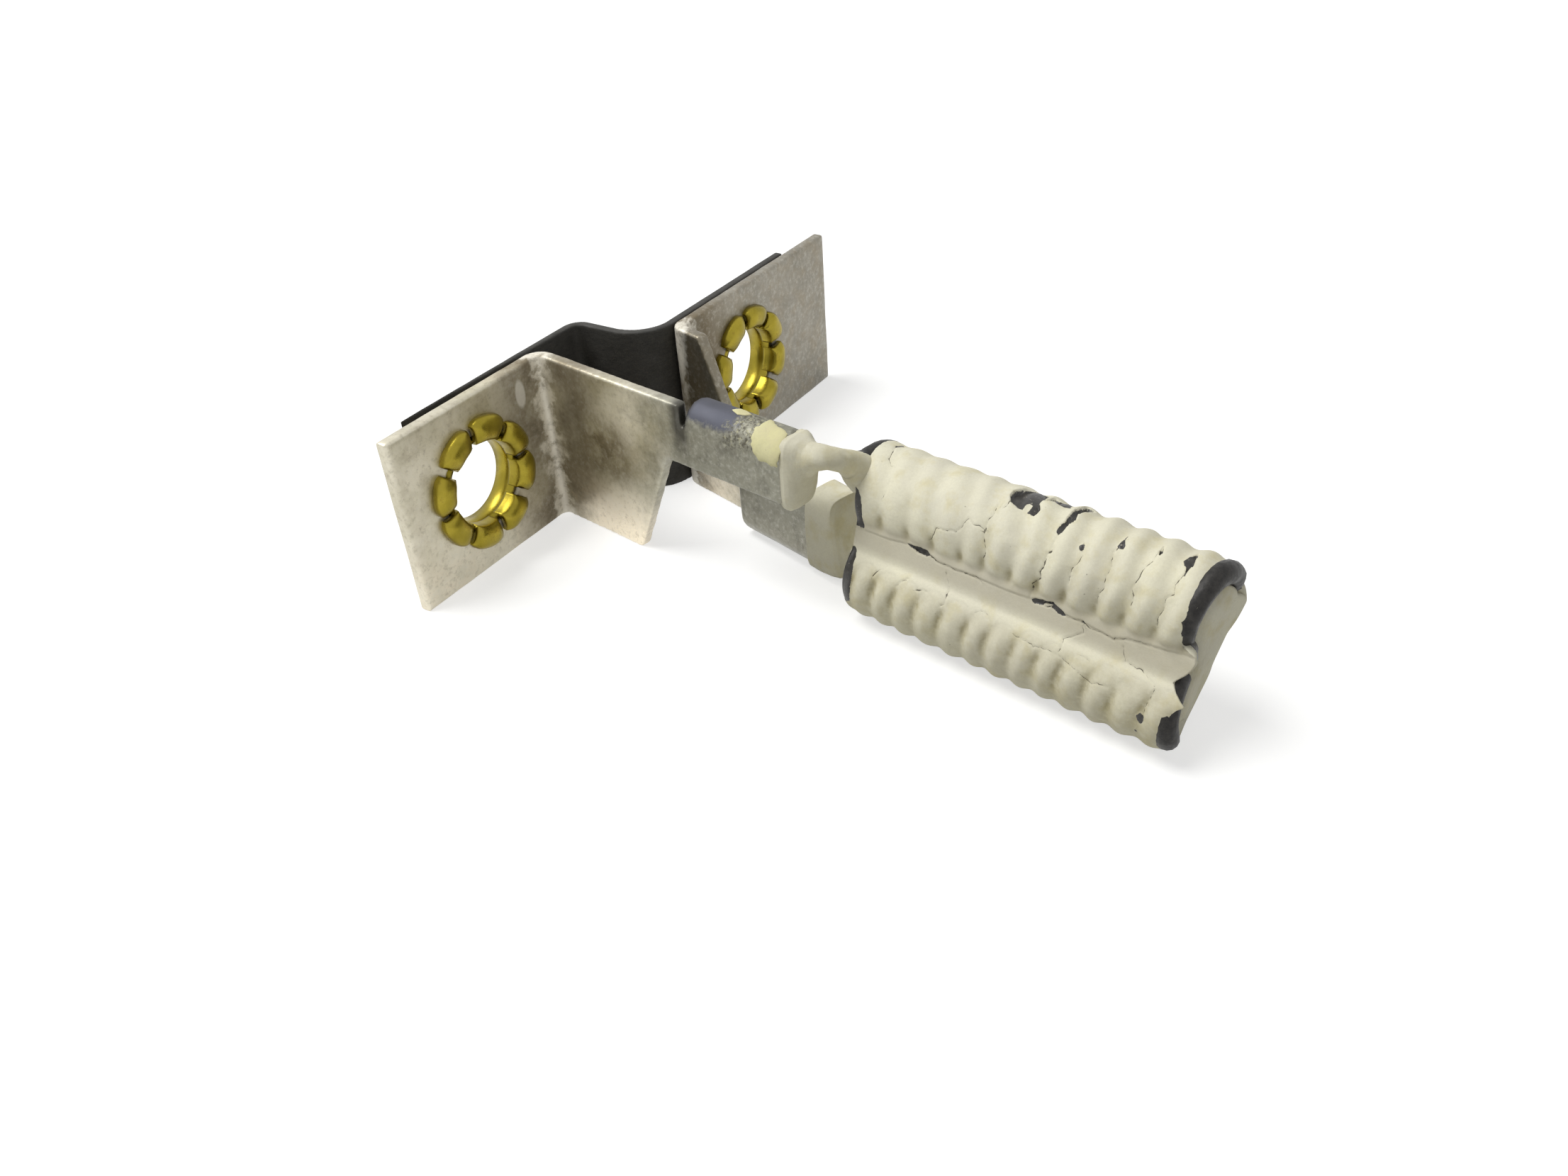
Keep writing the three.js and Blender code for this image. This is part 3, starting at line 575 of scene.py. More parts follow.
# Cracks: the width and depth in the first number, then points as above
CRACKS = [
    (1.6, [(10.54, 3.68), (10.51, 3.41), (10.6, 3.05), (10.42, 2.9), (10.45, 2.45), (10.3, 1.97),
           (10.36, 1.64), (9.94, 1.1), (10.0, 0.83), (9.91, 0.41)]),
    (1.0, [(11.74, 3.74), (11.92, 3.29), (11.89, 2.99), (11.74, 2.72), (11.68, 2.33),
           (11.68, 1.91)]),
    (1.0, [(13.15, 4.2), (13.12, 3.62), (13.24, 3.29), (13.21, 2.87), (13.3, 2.39), (13.09, 1.85),
           (13.09, 1.37)]),
    (1.0, [(14.77, 4.6), (14.74, 4.07), (14.53, 3.68), (14.56, 3.32), (14.47, 3.02),
           (14.44, 2.69), (14.62, 2.51), (14.59, 2.03)]),
    (1.1, [(16.15, 4.1), (16.03, 3.56), (16.15, 3.17), (15.91, 2.84), (15.94, 2.42),
           (15.79, 1.91), (15.82, 1.58)]),
    (0.75, [(11.8, 0.26), (12.43, 0.29), (12.79, 0.2), (13.06, 0.17), (13.57, 0.17),
           (14.11, 0.08), (14.17, 0.2), (14.65, 0.32), (15.28, 0.44), (15.76, 0.47)]),
    (1.1, [(16.48, -1.27), (16.39, -1.72), (16.27, -2.14), (16.27, -2.5)]),
    (0.8, [(14.62, -0.1), (14.83, -0.64), (15.61, -0.73), (16.42, -1.06)]),
    (0.9, [(12.64, 0.2), (12.76, -0.19), (11.92, -0.76), (12.04, -1.3), (11.98, -1.45)]),
    (0.8, [(9.76, -1.42), (9.97, -1.48), (10.87, -1.6), (11.17, -1.48), (11.92, -1.54),
           (12.82, -1.78), (13.81, -2.08), (14.29, -1.96), (14.62, -1.96)]),
    (1.0, [(7.3, 4.22), (7.33, 3.86), (7.24, 3.41), (7.27, 2.81), (7.3, 2.45), (7.48, 1.97),
           (7.45, 1.46)]),
    (0.9, [(7.27, 2.84), (6.85, 2.9), (6.28, 3.05), (6.13, 2.69), (5.83, 2.3), (5.53, 2.24),
           (4.81, 2.06), (4.69, 1.7), (4.45, 1.34)]),
    (0.9, [(7.75, 4.6), (7.66, 4.13)]),
    (0.9, [(0.64, 5.48), (0.88, 4.73), (0.91, 4.43), (1.24, 4.16), (1.51, 4.13)]),
    (0.6, [(1.72, 3.35), (1.72, 2.93), (1.66, 2.57)]),
    (1.2, [(4.57, 0.47), (5.14, 0.29), (6.04, 0.29), (7.15, 0.35), (7.42, 0.2)]),
    (1.3, [(1.99, -1.27), (1.87, -1.57)]),
    (1.5, [(3.7, -1.06), (3.37, -1.33), (3.28, -1.57)]),
    (1.3, [(4.36, -1.36), (4.57, -1.24), (4.93, -1.24)]),
    (1.5, [(5.89, -0.73), (5.89, -1.12), (5.89, -1.42), (5.77, -1.57)]),
    (0.7, [(5.56, -0.1), (5.74, -0.46)]),
]

# The ragged edge where the coat stops at the last turns: arc from the left, distance along
RIM = [(-11.7, 17.3), (-8.0, 17.2), (-5.6, 17.0), (-4.6, 17.0), (-4.0, 17.08), (-3.25, 17.17),
       (-2.53, 17.26), (-1.96, 17.41), (-1.66, 17.65), (-1.48, 17.9), (-1.3, 17.62),
       (-1.0, 17.29), (-0.67, 17.05), (-0.19, 17.44), (0.38, 17.7), (0.7, 17.6), (0.95, 17.05),
       (1.19, 16.95), (1.67, 17.0), (2.18, 17.1), (2.63, 17.14), (3.02, 17.2), (3.53, 17.12),
       (3.83, 17.1), (4.13, 17.18), (4.43, 17.18), (4.73, 17.12), (5.24, 17.15), (5.78, 17.3),
       (8.0, 17.35), (11.7, 17.3)]


def to_segment(points, a, b):
    """Distance of points to a segment, its own run and the points' offset from its start."""
    edge, offset = b - a, points - a
    t = np.clip(offset @ edge / max(edge @ edge, 1e-12), 0, 1)
    return np.linalg.norm(offset - t[:, None] * edge, axis=1), edge, offset


def polygon_distance(points, outline):
    """Signed distance to an outline, negative inside it."""
    outline = np.asarray(outline)
    best = np.full(len(points), np.inf)
    inside = np.zeros(len(points), bool)
    for a, b in zip(outline, np.roll(outline, -1, axis=0)):
        best = np.minimum(best, to_segment(points, a, b)[0])
        crosses = (a[1] > points[:, 1]) != (b[1] > points[:, 1])
        slope = (b[0] - a[0]) / (b[1] - a[1] if abs(b[1] - a[1]) > 1e-12 else 1e-12)
        inside ^= crosses & (points[:, 0] < a[0] + slope * (points[:, 1] - a[1]))
    return np.where(inside, -best, best)


def path_distance(points, path):
    """Distance to a bent line, and on which side of it each point is, as 1 or -1."""
    path = np.asarray(path)
    best = np.full(len(points), np.inf)
    hand = np.ones(len(points))
    for a, b in zip(path[:-1], path[1:]):
        distance, edge, offset = to_segment(points, a, b)
        cross = edge[0] * offset[:, 1] - edge[1] * offset[:, 0]
        hand = np.where(distance < best, np.where(cross < 0, -1.0, 1.0), hand)
        best = np.minimum(best, distance)
    return best, hand


def around(points, line, margin):
    """Numbers of the points inside a line's box, widened by a margin."""
    low, high = np.min(line, axis=0) - margin, np.max(line, axis=0) + margin
    return np.nonzero(np.all((points > low) & (points < high), axis=1))[0]


# Valleys between the ribs: distance along the coils, read off halfway up each coil's left side
UPPER_VALLEYS = (0.1, 1.6, 3.13, 4.55, 6.13, 7.42, 9.04, 10.42, 11.74, 13.26, 14.55, 16.0, 17.45)
LOWER_VALLEYS = (0.65, 1.93, 3.16, 4.45, 5.86, 7.27, 8.44, 9.79, 11.02, 12.22, 13.57, 14.83,
                 16.24, 17.6)

# The ledge where the upper coil's coat ends over the flat web: distance along, arc
LEDGE = [(0.0, 0.38), (2.2, 0.45), (3.4, 0.6), (4.57, 0.47), (5.14, 0.29), (6.04, 0.29),
         (7.15, 0.33), (8.6, 0.3), (9.94, 0.36), (10.5, 0.42), (11.3, 0.42), (11.83, 0.23),
         (12.43, 0.29), (13.57, 0.17), (14.11, 0.1), (14.65, 0.32), (15.76, 0.47), (17.7, 0.7)]

# Where the coat starts: arc from the left, distance along the coils
NEAR_END = [(-11.7, 0.0), (0.0, 0.0), (2.3, -0.05), (3.2, -0.35), (3.8, -0.6), (5.8, -0.6),
            (7.0, -0.35), (9.0, -0.1), (11.7, 0.0)]


def rib_position(travel, valleys):
    """Distance to the nearest valley, and the place between two of them, from -0.5 to 0.5."""
    valleys = np.asarray(valleys)
    after = np.clip(np.searchsorted(valleys, travel), 1, len(valleys) - 1)
    low, high = valleys[after - 1], valleys[after]
    return (np.minimum(np.abs(travel - low), np.abs(high - travel)),
            np.clip((travel - low) / (high - low), 0, 1) - 0.5)


def upper_slant(travel, arc):
    """How far a valley of the upper coil is set back at this place on its way round."""
    below = -0.18 * np.clip(2.7 - arc, 0, 2) * smooth(6.5, 9, travel)
    above = -(0.28 - 0.16 * smooth(8, 12, travel)) * np.clip(arc - 2.7, 0, 3)
    return below + above - 0.05 * np.clip(arc - 5.7, 0, 6)


FAR_FROM_CHIP, FAR_FROM_CRACK = 0.4, 1.0


def mark_distances(travel, arc):
    """Signed distance to the bare places, to the side of the nearest crack, and its weight."""
    place = np.stack([travel, arc, np.zeros_like(travel)], axis=1)
    flat = place[:, :2]
    chip = np.full(len(travel), FAR_FROM_CHIP)
    wobble = 0.06 * noise(place, 0.5, 8) + 0.04 * noise(place, 0.2, 7)
    for outline in BARE:
        near = around(flat, outline, 0.5)
        distance = polygon_distance(flat[near], outline) + wobble[near]
        chip[near] = np.minimum(chip[near], distance)
    for outline in FLAKES:
        chip = np.maximum(chip, -polygon_distance(flat, outline) - wobble)
    side = np.full(len(travel), FAR_FROM_CRACK)
    weight = np.zeros(len(travel))
    bend = (0.06 * np.stack([noise(place, 0.35, 9), noise(place, 0.35, 10)], axis=1)
            + 0.035 * np.stack([noise(place, 0.11, 15), noise(place, 0.11, 16)], axis=1))
    for width, path in CRACKS:
        near = around(flat, path, 0.4)
        distance, hand = path_distance(flat[near] + bend[near], path)
        pick = distance < np.abs(side[near])
        closer = near[pick]
        side[closer] = (distance * hand)[pick]
        weight[closer] = (width * smooth(0.3, 0.12, distance))[pick]
    return chip, side, weight


DENT_DEPTH, LEDGE_HEIGHT, LEDGE_GROOVE, WEB_LAYER = 0.13, 0.05, 0.03, 0.015
CHIP_FLOOR, CHIP_RIB = -0.13, 0.09
CRACK_DEPTH, CRACK_HALF_WIDTH = 0.035, 0.045


def coat_relief(travel, arc):
    """Height of the coat over its mean section, and its marks: chip, crack, tint and web."""
    place = np.stack([travel, arc, np.zeros_like(travel)], axis=1)
    upper = arc > 0
    reach = np.abs(arc)
    inward = np.minimum(reach, HALF_OUTLINE - reach)
    left = reach < CREST_ARC
    up_d, up_u = rib_position(travel - upper_slant(travel, arc), UPPER_VALLEYS)
    low_d, low_u = rib_position(travel - 0.15 * (arc + 2.2), LOWER_VALLEYS)
    d = np.where(upper, up_d, low_d)
    profile = np.cos(2 * math.pi * np.where(upper, up_u, low_u))
    strength = np.where(upper, 0.042 + 0.053 * smooth(5.5, 10.0, travel), 0.07)
    strength = strength * (1 + 0.25 * noise(place, 1.5, 3))
    # the web's layer ends on the lower ribs in the shape of finger tops
    over_tips = arc - (-1.08 - 0.45 * np.abs(2 * low_u) ** 2.6 + 0.12 * noise(place, 0.9, 14))
    on_lobe = np.where(upper, smooth(0.35, 1.1, inward),
                       np.where(left, smooth(0.0, 1.2, -1.1 - arc), smooth(1.0, 1.6, inward)))
    height = strength * profile * on_lobe
    # dents at the lower ends of the valleys
    up_dent = np.exp(-(((inward - 1.05) / 0.45) ** 2)) * np.exp(-((d / 0.19) ** 2))
    low_dent = np.exp(-(((inward - 2.3) / 0.75) ** 2)) * np.exp(-((d / 0.19) ** 2))
    pick = np.clip(0.75 + 0.5 * noise(place, 1.0, 4), 0, 1.2)
    dent = np.where(upper, up_dent * smooth(0.35, 0.8, inward), low_dent * on_lobe) * pick
    height -= DENT_DEPTH * dent
    # the upper coat's ledge over the web, and the web's own layer over the finger tops
    above = arc - np.interp(travel, *np.array(LEDGE).T)
    height += LEDGE_HEIGHT * smooth(-0.03, 0.03, above) * smooth(1.6, 0.5, inward) * upper
    height -= LEDGE_GROOVE * np.exp(-((above / 0.05) ** 2)) * left
    layer = smooth(-0.03, 0.03, over_tips) * smooth(-0.4, -1.0, arc) * left * ~upper
    height += WEB_LAYER * layer
    height += 0.03 * noise(place, 1.9, 1) + 0.012 * noise(place, 0.5, 2)
    # olive darkening: in the dents and valleys painted shade of the hollows together with dirt;
    # towards the far end and over the lower coil painted shade
    tint = dent * 1.2 + 0.32 * on_lobe * np.exp(-((d / 0.3) ** 2)) * np.clip(
        0.4 + noise(place, 0.8, 5), 0, 1)
    tint = tint + 0.12 * smooth(7.0, 15.0, travel) + 0.3 * smooth(-0.9, -1.5, arc)
    chip, side, weight = mark_distances(travel, arc)
    # fine broken line along the finger tops
    line = (np.abs(side) > 0.35) & (np.abs(over_tips) < 0.3) & ~upper & left
    shown = 0.6 * smooth(0.25, 0.6, noise(place, 1.1, 6)) * smooth(0.3, 0.12, np.abs(over_tips))
    side = np.where(line, over_tips, side)
    weight = np.where(line, shown, weight)
    bare = smooth(0.03, -0.04, chip)
    floor = CHIP_FLOOR + CHIP_RIB * np.cos(2 * math.pi * np.minimum(d, 0.7) / 1.4)
    groove = weight * np.exp(-((side / CRACK_HALF_WIDTH) ** 2))
    height = height * (1 - bare) + floor * bare - CRACK_DEPTH * groove
    # where the flat web gets its painted shade in the material
    web = smooth(0.9, 0.2, np.where(upper, above, -arc)) * (inward < 2)
    return height, np.stack([chip, side, weight, np.clip(tint, 0, 1), web], axis=1)


MARKS = ("chip", "crack_side", "crack_weight", "tint", "web")
CHIP, TINT = MARKS.index("chip"), MARKS.index("tint")


def no_marks(count):
    return np.tile((FAR_FROM_CHIP, FAR_FROM_CRACK, 0.0, 0.0, 0.0), (count, 1))


def front_travel(x, z):
    """The broken far face of the cement, which leans back on its lower right side."""
    lump = 0.035 * noise(np.stack([x, z, 0 * x], axis=1), 0.9, 21)
    # it sinks next to the bare turns
    reach = np.hypot(x, np.maximum(np.abs(z) - AXIS_HEIGHT, 0))
    depth = np.where(z > 0, 0.3, 0.55)
    sunk = depth * smooth(0.6, 1.3, reach) * smooth(0.8, -0.4, x)
    return 17.42 + 0.02 * z + (0.066 * z - 0.01) * x + lump - sunk


COLUMNS, ALONG = 420, 330
NEAR_ROUNDING = 0.32
FACE_RADIUS = 1.28


def make_coat():
    """The coat as rings along the block: near end, side, broken edge and far face."""
    arc, px, pz, nx, nz = block_section(COLUMNS)
    wave = np.stack([arc, 0 * arc, 0 * arc], axis=1)
    rim = np.interp(arc, *np.array(RIM).T) + 0.06 * noise(wave, 0.3, 12)
    # the wire's last turn is bare on the left side and over the top, and buried elsewhere
    dive = smooth(9.2, 7.8, arc) * smooth(-5.7, -5.0, arc)

    def where_bare(value, elsewhere):
        return dive * value + (1 - dive) * elsewhere

    rim = where_bare(rim, front_travel(px, pz) - 0.14)
    near = np.interp(arc, *np.array(NEAR_END).T)
    rings, marks = [], []

    def add_ring(travel, x, z, values=None):
        rings.append(np.stack([x, travel, z], axis=1))
        marks.append(no_marks(COLUMNS) if values is None else values)

    def add_outer(travel, rounding, share):
        """A ring with the coat's relief, drawn in at the near end."""
        height, values = coat_relief(travel, arc)
        out = height * share - rounding
        add_ring(travel, px + nx * out, pz + nz * out, values)

    for share in (0.03, 0.2, 0.4, 0.6, 0.75, 0.86):
        lump = 0.05 * noise(np.stack([px * share, pz * share, 0 * px], axis=1), 0.8, 20)
        add_ring(near * share**2 + 0.03 + lump, px * share, pz * share)
    for k in range(1, 8):
        angle = k / 7 * math.pi / 2
        add_outer(near + NEAR_ROUNDING * (1 - math.cos(angle)),
                  NEAR_ROUNDING * (1 - math.sin(angle)), math.sin(angle) ** 2)
    start = near + NEAR_ROUNDING
    for k in range(1, ALONG + 1):
        add_outer(start + (rim - start) * k / ALONG, 0.0, 1.0)
    # the coat's broken edge: down behind the bare turn, or round on to the far face
    lobe = np.sign(pz) * AXIS_HEIGHT
    on_lobe = np.abs(pz) > AXIS_HEIGHT
    shrink = FACE_RADIUS / np.hypot(px, pz - lobe)
    in_x = np.where(on_lobe, px * shrink, np.clip(px, -FACE_RADIUS, FACE_RADIUS))
    in_z = np.where(on_lobe, lobe + (pz - lobe) * shrink, pz)
    inner = front_travel(in_x, in_z)
    for back, depth, forward, inset in ((0.02, 0.05, 0.03, 0.01), (0.0, 0.2, 0.06, 0.02),
                                        (-0.1, 0.45, 0.09, 0.04), (-0.22, 0.8, 0.11, 0.06)):
        sink = where_bare(depth, inset)
        values = no_marks(COLUMNS)
        values[:, CHIP] = np.where((dive > 0.5) & (depth > 0.3), -0.1, FAR_FROM_CHIP)
        add_ring(where_bare(rim + back, rim + forward), px - nx * sink, pz - nz * sink, values)
    for back, forward, inset in ((0.7, 0.118, 0.08), (0.35, 0.125, 0.1), (0.1, 0.13, 0.12),
                                 (0.02, 0.135, 0.15)):
        values = no_marks(COLUMNS)
        # painted shade where the far face sinks behind the bare turn
        values[:, TINT] = dive * (0.9 if back > 0.2 else 0.3)
        add_ring(where_bare(inner - back, rim + forward), where_bare(in_x, px - nx * inset),
                 where_bare(in_z, pz - nz * inset), values)
    edge_x, edge_z = rings[-1][:, 0], rings[-1][:, 2]
    for share in (0.97, 0.9, 0.78, 0.62, 0.45, 0.28, 0.12, 0.03):
        x, z = edge_x * share, edge_z * share
        values = no_marks(COLUMNS)
        # painted shade where the far face sinks back on its left
        values[:, TINT] = 0.55 * np.exp(-((z + 0.4) ** 2) / 0.8) * smooth(0.9, -0.6, x)
        add_ring(front_travel(x, z), x, z, values)
    points, faces = capped_tube(np.array(rings))
    points = from_coil(points)
    marks = np.concatenate([*marks, no_marks(2)])
    coat = mesh_piece("cement_coat", points, outward(points, faces), CEMENT,
                      dict(zip(MARKS, marks.T)))
    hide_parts("cement_jacket", "cement_core")
    return coat


# ---- wire and leads

WIRE_RADIUS, SCALE_THICKNESS = 0.46, 0.07
WIND_RADIUS, BARE_WIND_RADIUS = 1.6, 1.78
STEPS_PER_TURN = 32
BURIED_DEPTH, UPPER_BURIED_BACK, LOWER_BURIED_BACK = 0.5, 0.45, 1.0
UPPER_START, UPPER_TURNED = 64.0, 12 * 360 + 116.0
LOWER_START, LOWER_TURNED = 180.0, 12 * 360 + 330.0
FOLD_RADIUS = 1.21
STRIP_HEIGHT = 10.0
LEFT_CRIMP_START, RIGHT_CRIMP_START = 10.95, 6.45
CRIMP_LENGTH, WIRE_GRIP = 6.25, 4.5
LEFT_ARM_TURN, RIGHT_ARM_TURN = math.radians(-9), math.radians(15.3)
RIGHT_BEND = (6.65, -5.1, 0.0)


def on_arm(out, distance, turn):
    """X and Y, from the bend, of a place this far out from an arm's face and along the arm."""
    return (out * math.cos(turn) + distance * math.sin(turn),
            out * math.sin(turn) - distance * math.cos(turn))


def left_nest(distance):
    """The middle of the left crimp's fold, at a distance along the arm."""
    return np.array([*on_arm(FOLD_RADIUS, distance, LEFT_ARM_TURN), STRIP_HEIGHT - FOLD_RADIUS])


def right_nest(distance):
    x, y = on_arm(FOLD_RADIUS, distance, RIGHT_ARM_TURN)
    return np.array([RIGHT_BEND[0] - x, RIGHT_BEND[1] + y, FOLD_RADIUS])


def on_coil(upper, degrees, travel, radius):
    a = math.radians(degrees)
    side = 1 if upper else -1
    # the winding is flattened a little where the two coils face each other
    radius -= 0.2 * max(0.0, -side * math.sin(a))
    height = side * AXIS_HEIGHT + radius * math.sin(a)
    return from_coil([[-radius * math.cos(a), travel, height]])[0]


def bezier(a, b, c, d, count):
    t = np.linspace(0, 1, count)[:, None]
    return (1 - t) ** 3 * a + 3 * (1 - t) ** 2 * t * b + 3 * (1 - t) * t**2 * c + t**3 * d


def lead(nest, crimp_end, first, second, rise):
    """From inside the crimp to the first turn of a coil; rise lifts its way out of the crimp."""
    start, mouth = nest(crimp_end - WIRE_GRIP), nest(crimp_end + 0.9) + (0, 0, rise)
    ahead = nest(1) - nest(0) + (0, 0, 2 * rise)
    tangent = (second - first) / np.linalg.norm(second - first)
    span = np.linalg.norm(first - mouth)
    bend = bezier(mouth, mouth + ahead * span * 0.5, first - tangent * span * 0.4, first, 16)
    return [start, nest(crimp_end), *bend]


def last_turn(from_end, pitch):
    """How far back a turn is; the last half turn closes up flat."""
    return pitch * (max(from_end - 90, 0) / 360) + 0.05 * min(from_end, 90) / 90


def upper_turn(turned, left_over):
    """How far along a place of the upper winding is, how bare and how deep in the cement."""
    buried = smooth(58, 8, left_over)
    bare = max(smooth(420, 280, left_over), smooth(150, 60, turned))
    travel = UPPER_FAR - last_turn(left_over, UPPER_PITCH)
    return travel - UPPER_BURIED_BACK * buried, bare, buried


def lower_turn(turned, left_over):
    """The same for the lower winding, which comes back from the far end."""
    buried = smooth(140, 80, turned)
    ahead = 0.24 * smooth(80, 150, turned) * smooth(330, 220, turned)
    travel = LOWER_FAR - last_turn(turned, LOWER_PITCH)
    return travel + ahead - LOWER_BURIED_BACK * buried, smooth(400, 260, turned), buried


def winding(upper, start, total, turn):
    count = int(total / 360 * STEPS_PER_TURN)
    points = []
    for i in range(count + 1):
        turned = total * i / count
        travel, bare, buried = turn(turned, total - turned)
        radius = WIND_RADIUS + (BARE_WIND_RADIUS - WIND_RADIUS) * bare
        points.append(on_coil(upper, start + turned, travel, radius - BURIED_DEPTH * buried))
    return points


def wire_paths():
    """The whole wire's path, and the two leads' as far as their cement goes."""
    upper = winding(True, UPPER_START, UPPER_TURNED, upper_turn)
    lower = winding(False, LOWER_START, LOWER_TURNED, lower_turn)
    left = lead(left_nest, LEFT_CRIMP_START + CRIMP_LENGTH, upper[0], upper[1], 0.2)
    right = lead(right_nest, RIGHT_CRIMP_START + CRIMP_LENGTH, lower[-1], lower[-2], 0.1)
    over = [upper[-1] + (lower[0] - upper[-1]) * k / 8 for k in range(1, 8)]
    path = left[:-1] + upper + over + lower + right[:-1][::-1]
    into_upper = [on_coil(True, 75, t, 1.15) for t in (-0.1, 0.3, 0.8)]
    into_lower = [on_coil(False, 150, t, 0.9) for t in (0.4, 0.9)]
    return (np.array(path), np.array(left[:-6] + into_upper),
            np.array(right[:-5] + into_lower))


def sweep_frames(path):
    ahead = np.gradient(path, axis=0)
    ahead /= np.linalg.norm(ahead, axis=1)[:, None]
    normal = np.array([0.0, 0.0, 1.0])
    normals = []
    for tangent in ahead:
        normal = normal - tangent * (normal @ tangent)
        normal = normal / np.linalg.norm(normal)
        normals.append(normal)
    normals = np.array(normals)
    return normals, np.cross(ahead, normals)


def tube_rings(path, radius, sides):
    normals, across = sweep_frames(path)
    angles = np.arange(sides) / sides * 2 * math.pi
    radius = np.broadcast_to(radius, len(path))[:, None, None]
    return (path[:, None] + radius * (np.cos(angles)[None, :, None] * across[:, None]
                                      + np.sin(angles)[None, :, None] * normals[:, None]))


def coil_radius(path):
    """Distance of each place from the nearer coil's axis."""
    x, _, z = ((path - COIL_START) @ COIL).T
    return np.hypot(x, np.abs(z) - AXIS_HEIGHT)


def make_wire(path):
    # the bare turns carry thick scale
    radius = coil_radius(path)
    bare = smooth(1.5, 1.74, radius) * smooth(2.0, 1.9, radius)
    points, faces = capped_tube(tube_rings(path, WIRE_RADIUS + SCALE_THICKNESS * bare, 14))
    wire = mesh_piece("heating_wire_scaled", points, outward(points, faces), WIRE)
    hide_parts("heating_wire")
    return wire


def resample(path, count):
    length = np.concatenate([[0], np.cumsum(np.linalg.norm(np.diff(path, axis=0), axis=1))])
    at = np.linspace(0, length[-1], count)
    return np.stack([np.interp(at, length, c) for c in path.T], axis=1), length[-1]


LEAD_STEPS, LEAD_SIDES = 110, 64


def make_lead_cement(name, path, stations, node, seed, tint_share):
    """Cement lofted along a lead; each station gives the distance from the crimp's end, half
    the width, how far it reaches down and up from the wire, and how round the section is."""
    stations = np.array(stations)
    first, reach = stations[0, 0], stations[-1, 0]
    out = (path[1] - path[0]) / np.linalg.norm(path[1] - path[0])
    line, total = resample(path[1:], LEAD_STEPS)
    at = np.linspace(0, total, LEAD_STEPS)
    line = np.concatenate([[path[1] + out * first], line[at <= reach]])
    at = np.concatenate([[first], at[at <= reach]])
    fine = np.unique(np.concatenate([np.linspace(first, at[-1], 70), stations[:, 0]]))
    line = np.stack([np.interp(fine, at, line[:, k]) for k in range(3)], axis=1)
    normals, across = sweep_frames(line)
    # the plug's sections stay square to the crimp
    straight = smooth(1.6, 0.8, fine)[:, None]
    normals = normals * (1 - straight) + np.array([0, 0, 1]) * straight
    across = across * (1 - straight) + np.cross(out, (0, 0, 1)) * straight
    angles = (np.arange(LEAD_SIDES) + 0.5) / LEAD_SIDES * 2 * math.pi
    rings = []
    for i, along in enumerate(fine):
        half, down, up, power = (np.interp(along, stations[:, 0], stations[:, k])
                                 for k in range(1, 5))
        c = np.sign(np.cos(angles)) * np.abs(np.cos(angles)) ** power
        s = np.sign(np.sin(angles)) * np.abs(np.sin(angles)) ** power
        middle, height = (up - down) / 2, (up + down) / 2
        rings.append(line[i] + across[i] * (half * c)[:, None]
                     + normals[i] * (middle + height * s)[:, None])
    rings = np.array(rings)
    flat = rings.reshape(-1, 3)
    away = flat - np.repeat(rings.mean(axis=1), LEAD_SIDES, axis=0)
    away /= np.linalg.norm(away, axis=1)[:, None]
    lumps = 0.045 * noise(flat, 1.1, seed) + 0.02 * noise(flat, 0.35, seed + 1)
    points, faces = capped_tube((flat + away * lumps[:, None]).reshape(rings.shape))
    marks = no_marks(len(points))
    station = np.concatenate([np.repeat(fine, LEAD_SIDES), fine[[0, -1]]])
    # an olive tint along the lead, fading out before its end at the coil
    marks[:, TINT] = (tint_share * np.clip(1 + noise(points, 0.8, seed + 2), 0, 1.5)
                      * smooth(0.95, 0.7, station / reach))
    piece = mesh_piece(name, points, outward(points, faces), CEMENT, dict(zip(MARKS, marks.T)))
    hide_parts(node)
    return piece


DAB = [(15.45, 11.13), (15.9, 10.95), (16.25, 10.72), (16.71, 10.61), (17.05, 10.45),
       (17.2, 9.76), (17.2, 9.23), (17.12, 8.69), (16.64, 8.59), (15.96, 8.64), (15.61, 9.09),
       (15.32, 9.6), (15.28, 10.1), (15.36, 10.55)]
SMALL_DAB = [(13.23, 10.76), (13.38, 11.2), (13.9, 11.15), (14.35, 10.95), (14.2, 10.7),
             (13.78, 10.53)]


def on_left_crimp(distance, arc, lift):
    """A place on the crimp's outside: distance along the arm, and height run on round the roll."""
    turn = np.clip((arc - STRIP_HEIGHT + FOLD_RADIUS) / FOLD_RADIUS, 0, None)
    radius = FOLD_RADIUS + lift
    x = FOLD_RADIUS - radius * np.cos(turn)
    z = np.where(turn > 0, STRIP_HEIGHT - FOLD_RADIUS + radius * np.sin(turn), arc)
    return np.stack([*on_arm(x, distance, LEFT_ARM_TURN), z], axis=-1)


def make_dab(name, outline, thickness, seed):
    """A thin crust of cement with a ragged edge, lying on the left crimp."""
    outline = np.array(outline)
    around = resample(np.concatenate([outline, outline[:1]]), 121)[0][:-1]
    middle = around.mean(axis=0)
    wave = noise(np.concatenate([around, 0 * around[:, :1]], axis=1), 0.22, seed)
    around = around + (around - middle) * 0.09 * wave[:, None]
    rings = []
    for share in (0.04, 0.3, 0.55, 0.75, 0.88, 0.95, 0.985, 1.0):
        flat = middle + (around - middle) * share
        lump = 0.02 * noise(np.concatenate([flat, 0 * flat[:, :1]], axis=1), 0.4, seed + 1)
        lift = thickness * (1 - share**10) + lump * (1 - share**10)
        rings.append(on_left_crimp(flat[:, 0], flat[:, 1], lift))
    for share in (0.99, 0.5, 0.04):
        flat = middle + (around - middle) * share
        rings.append(on_left_crimp(flat[:, 0], flat[:, 1], np.full(len(flat), -0.04)))
    points, faces = capped_tube(np.array(rings))
    return mesh_piece(name, points, outward(points, faces), SPLASH,
                      dict(zip(MARKS, no_marks(len(points)).T)))


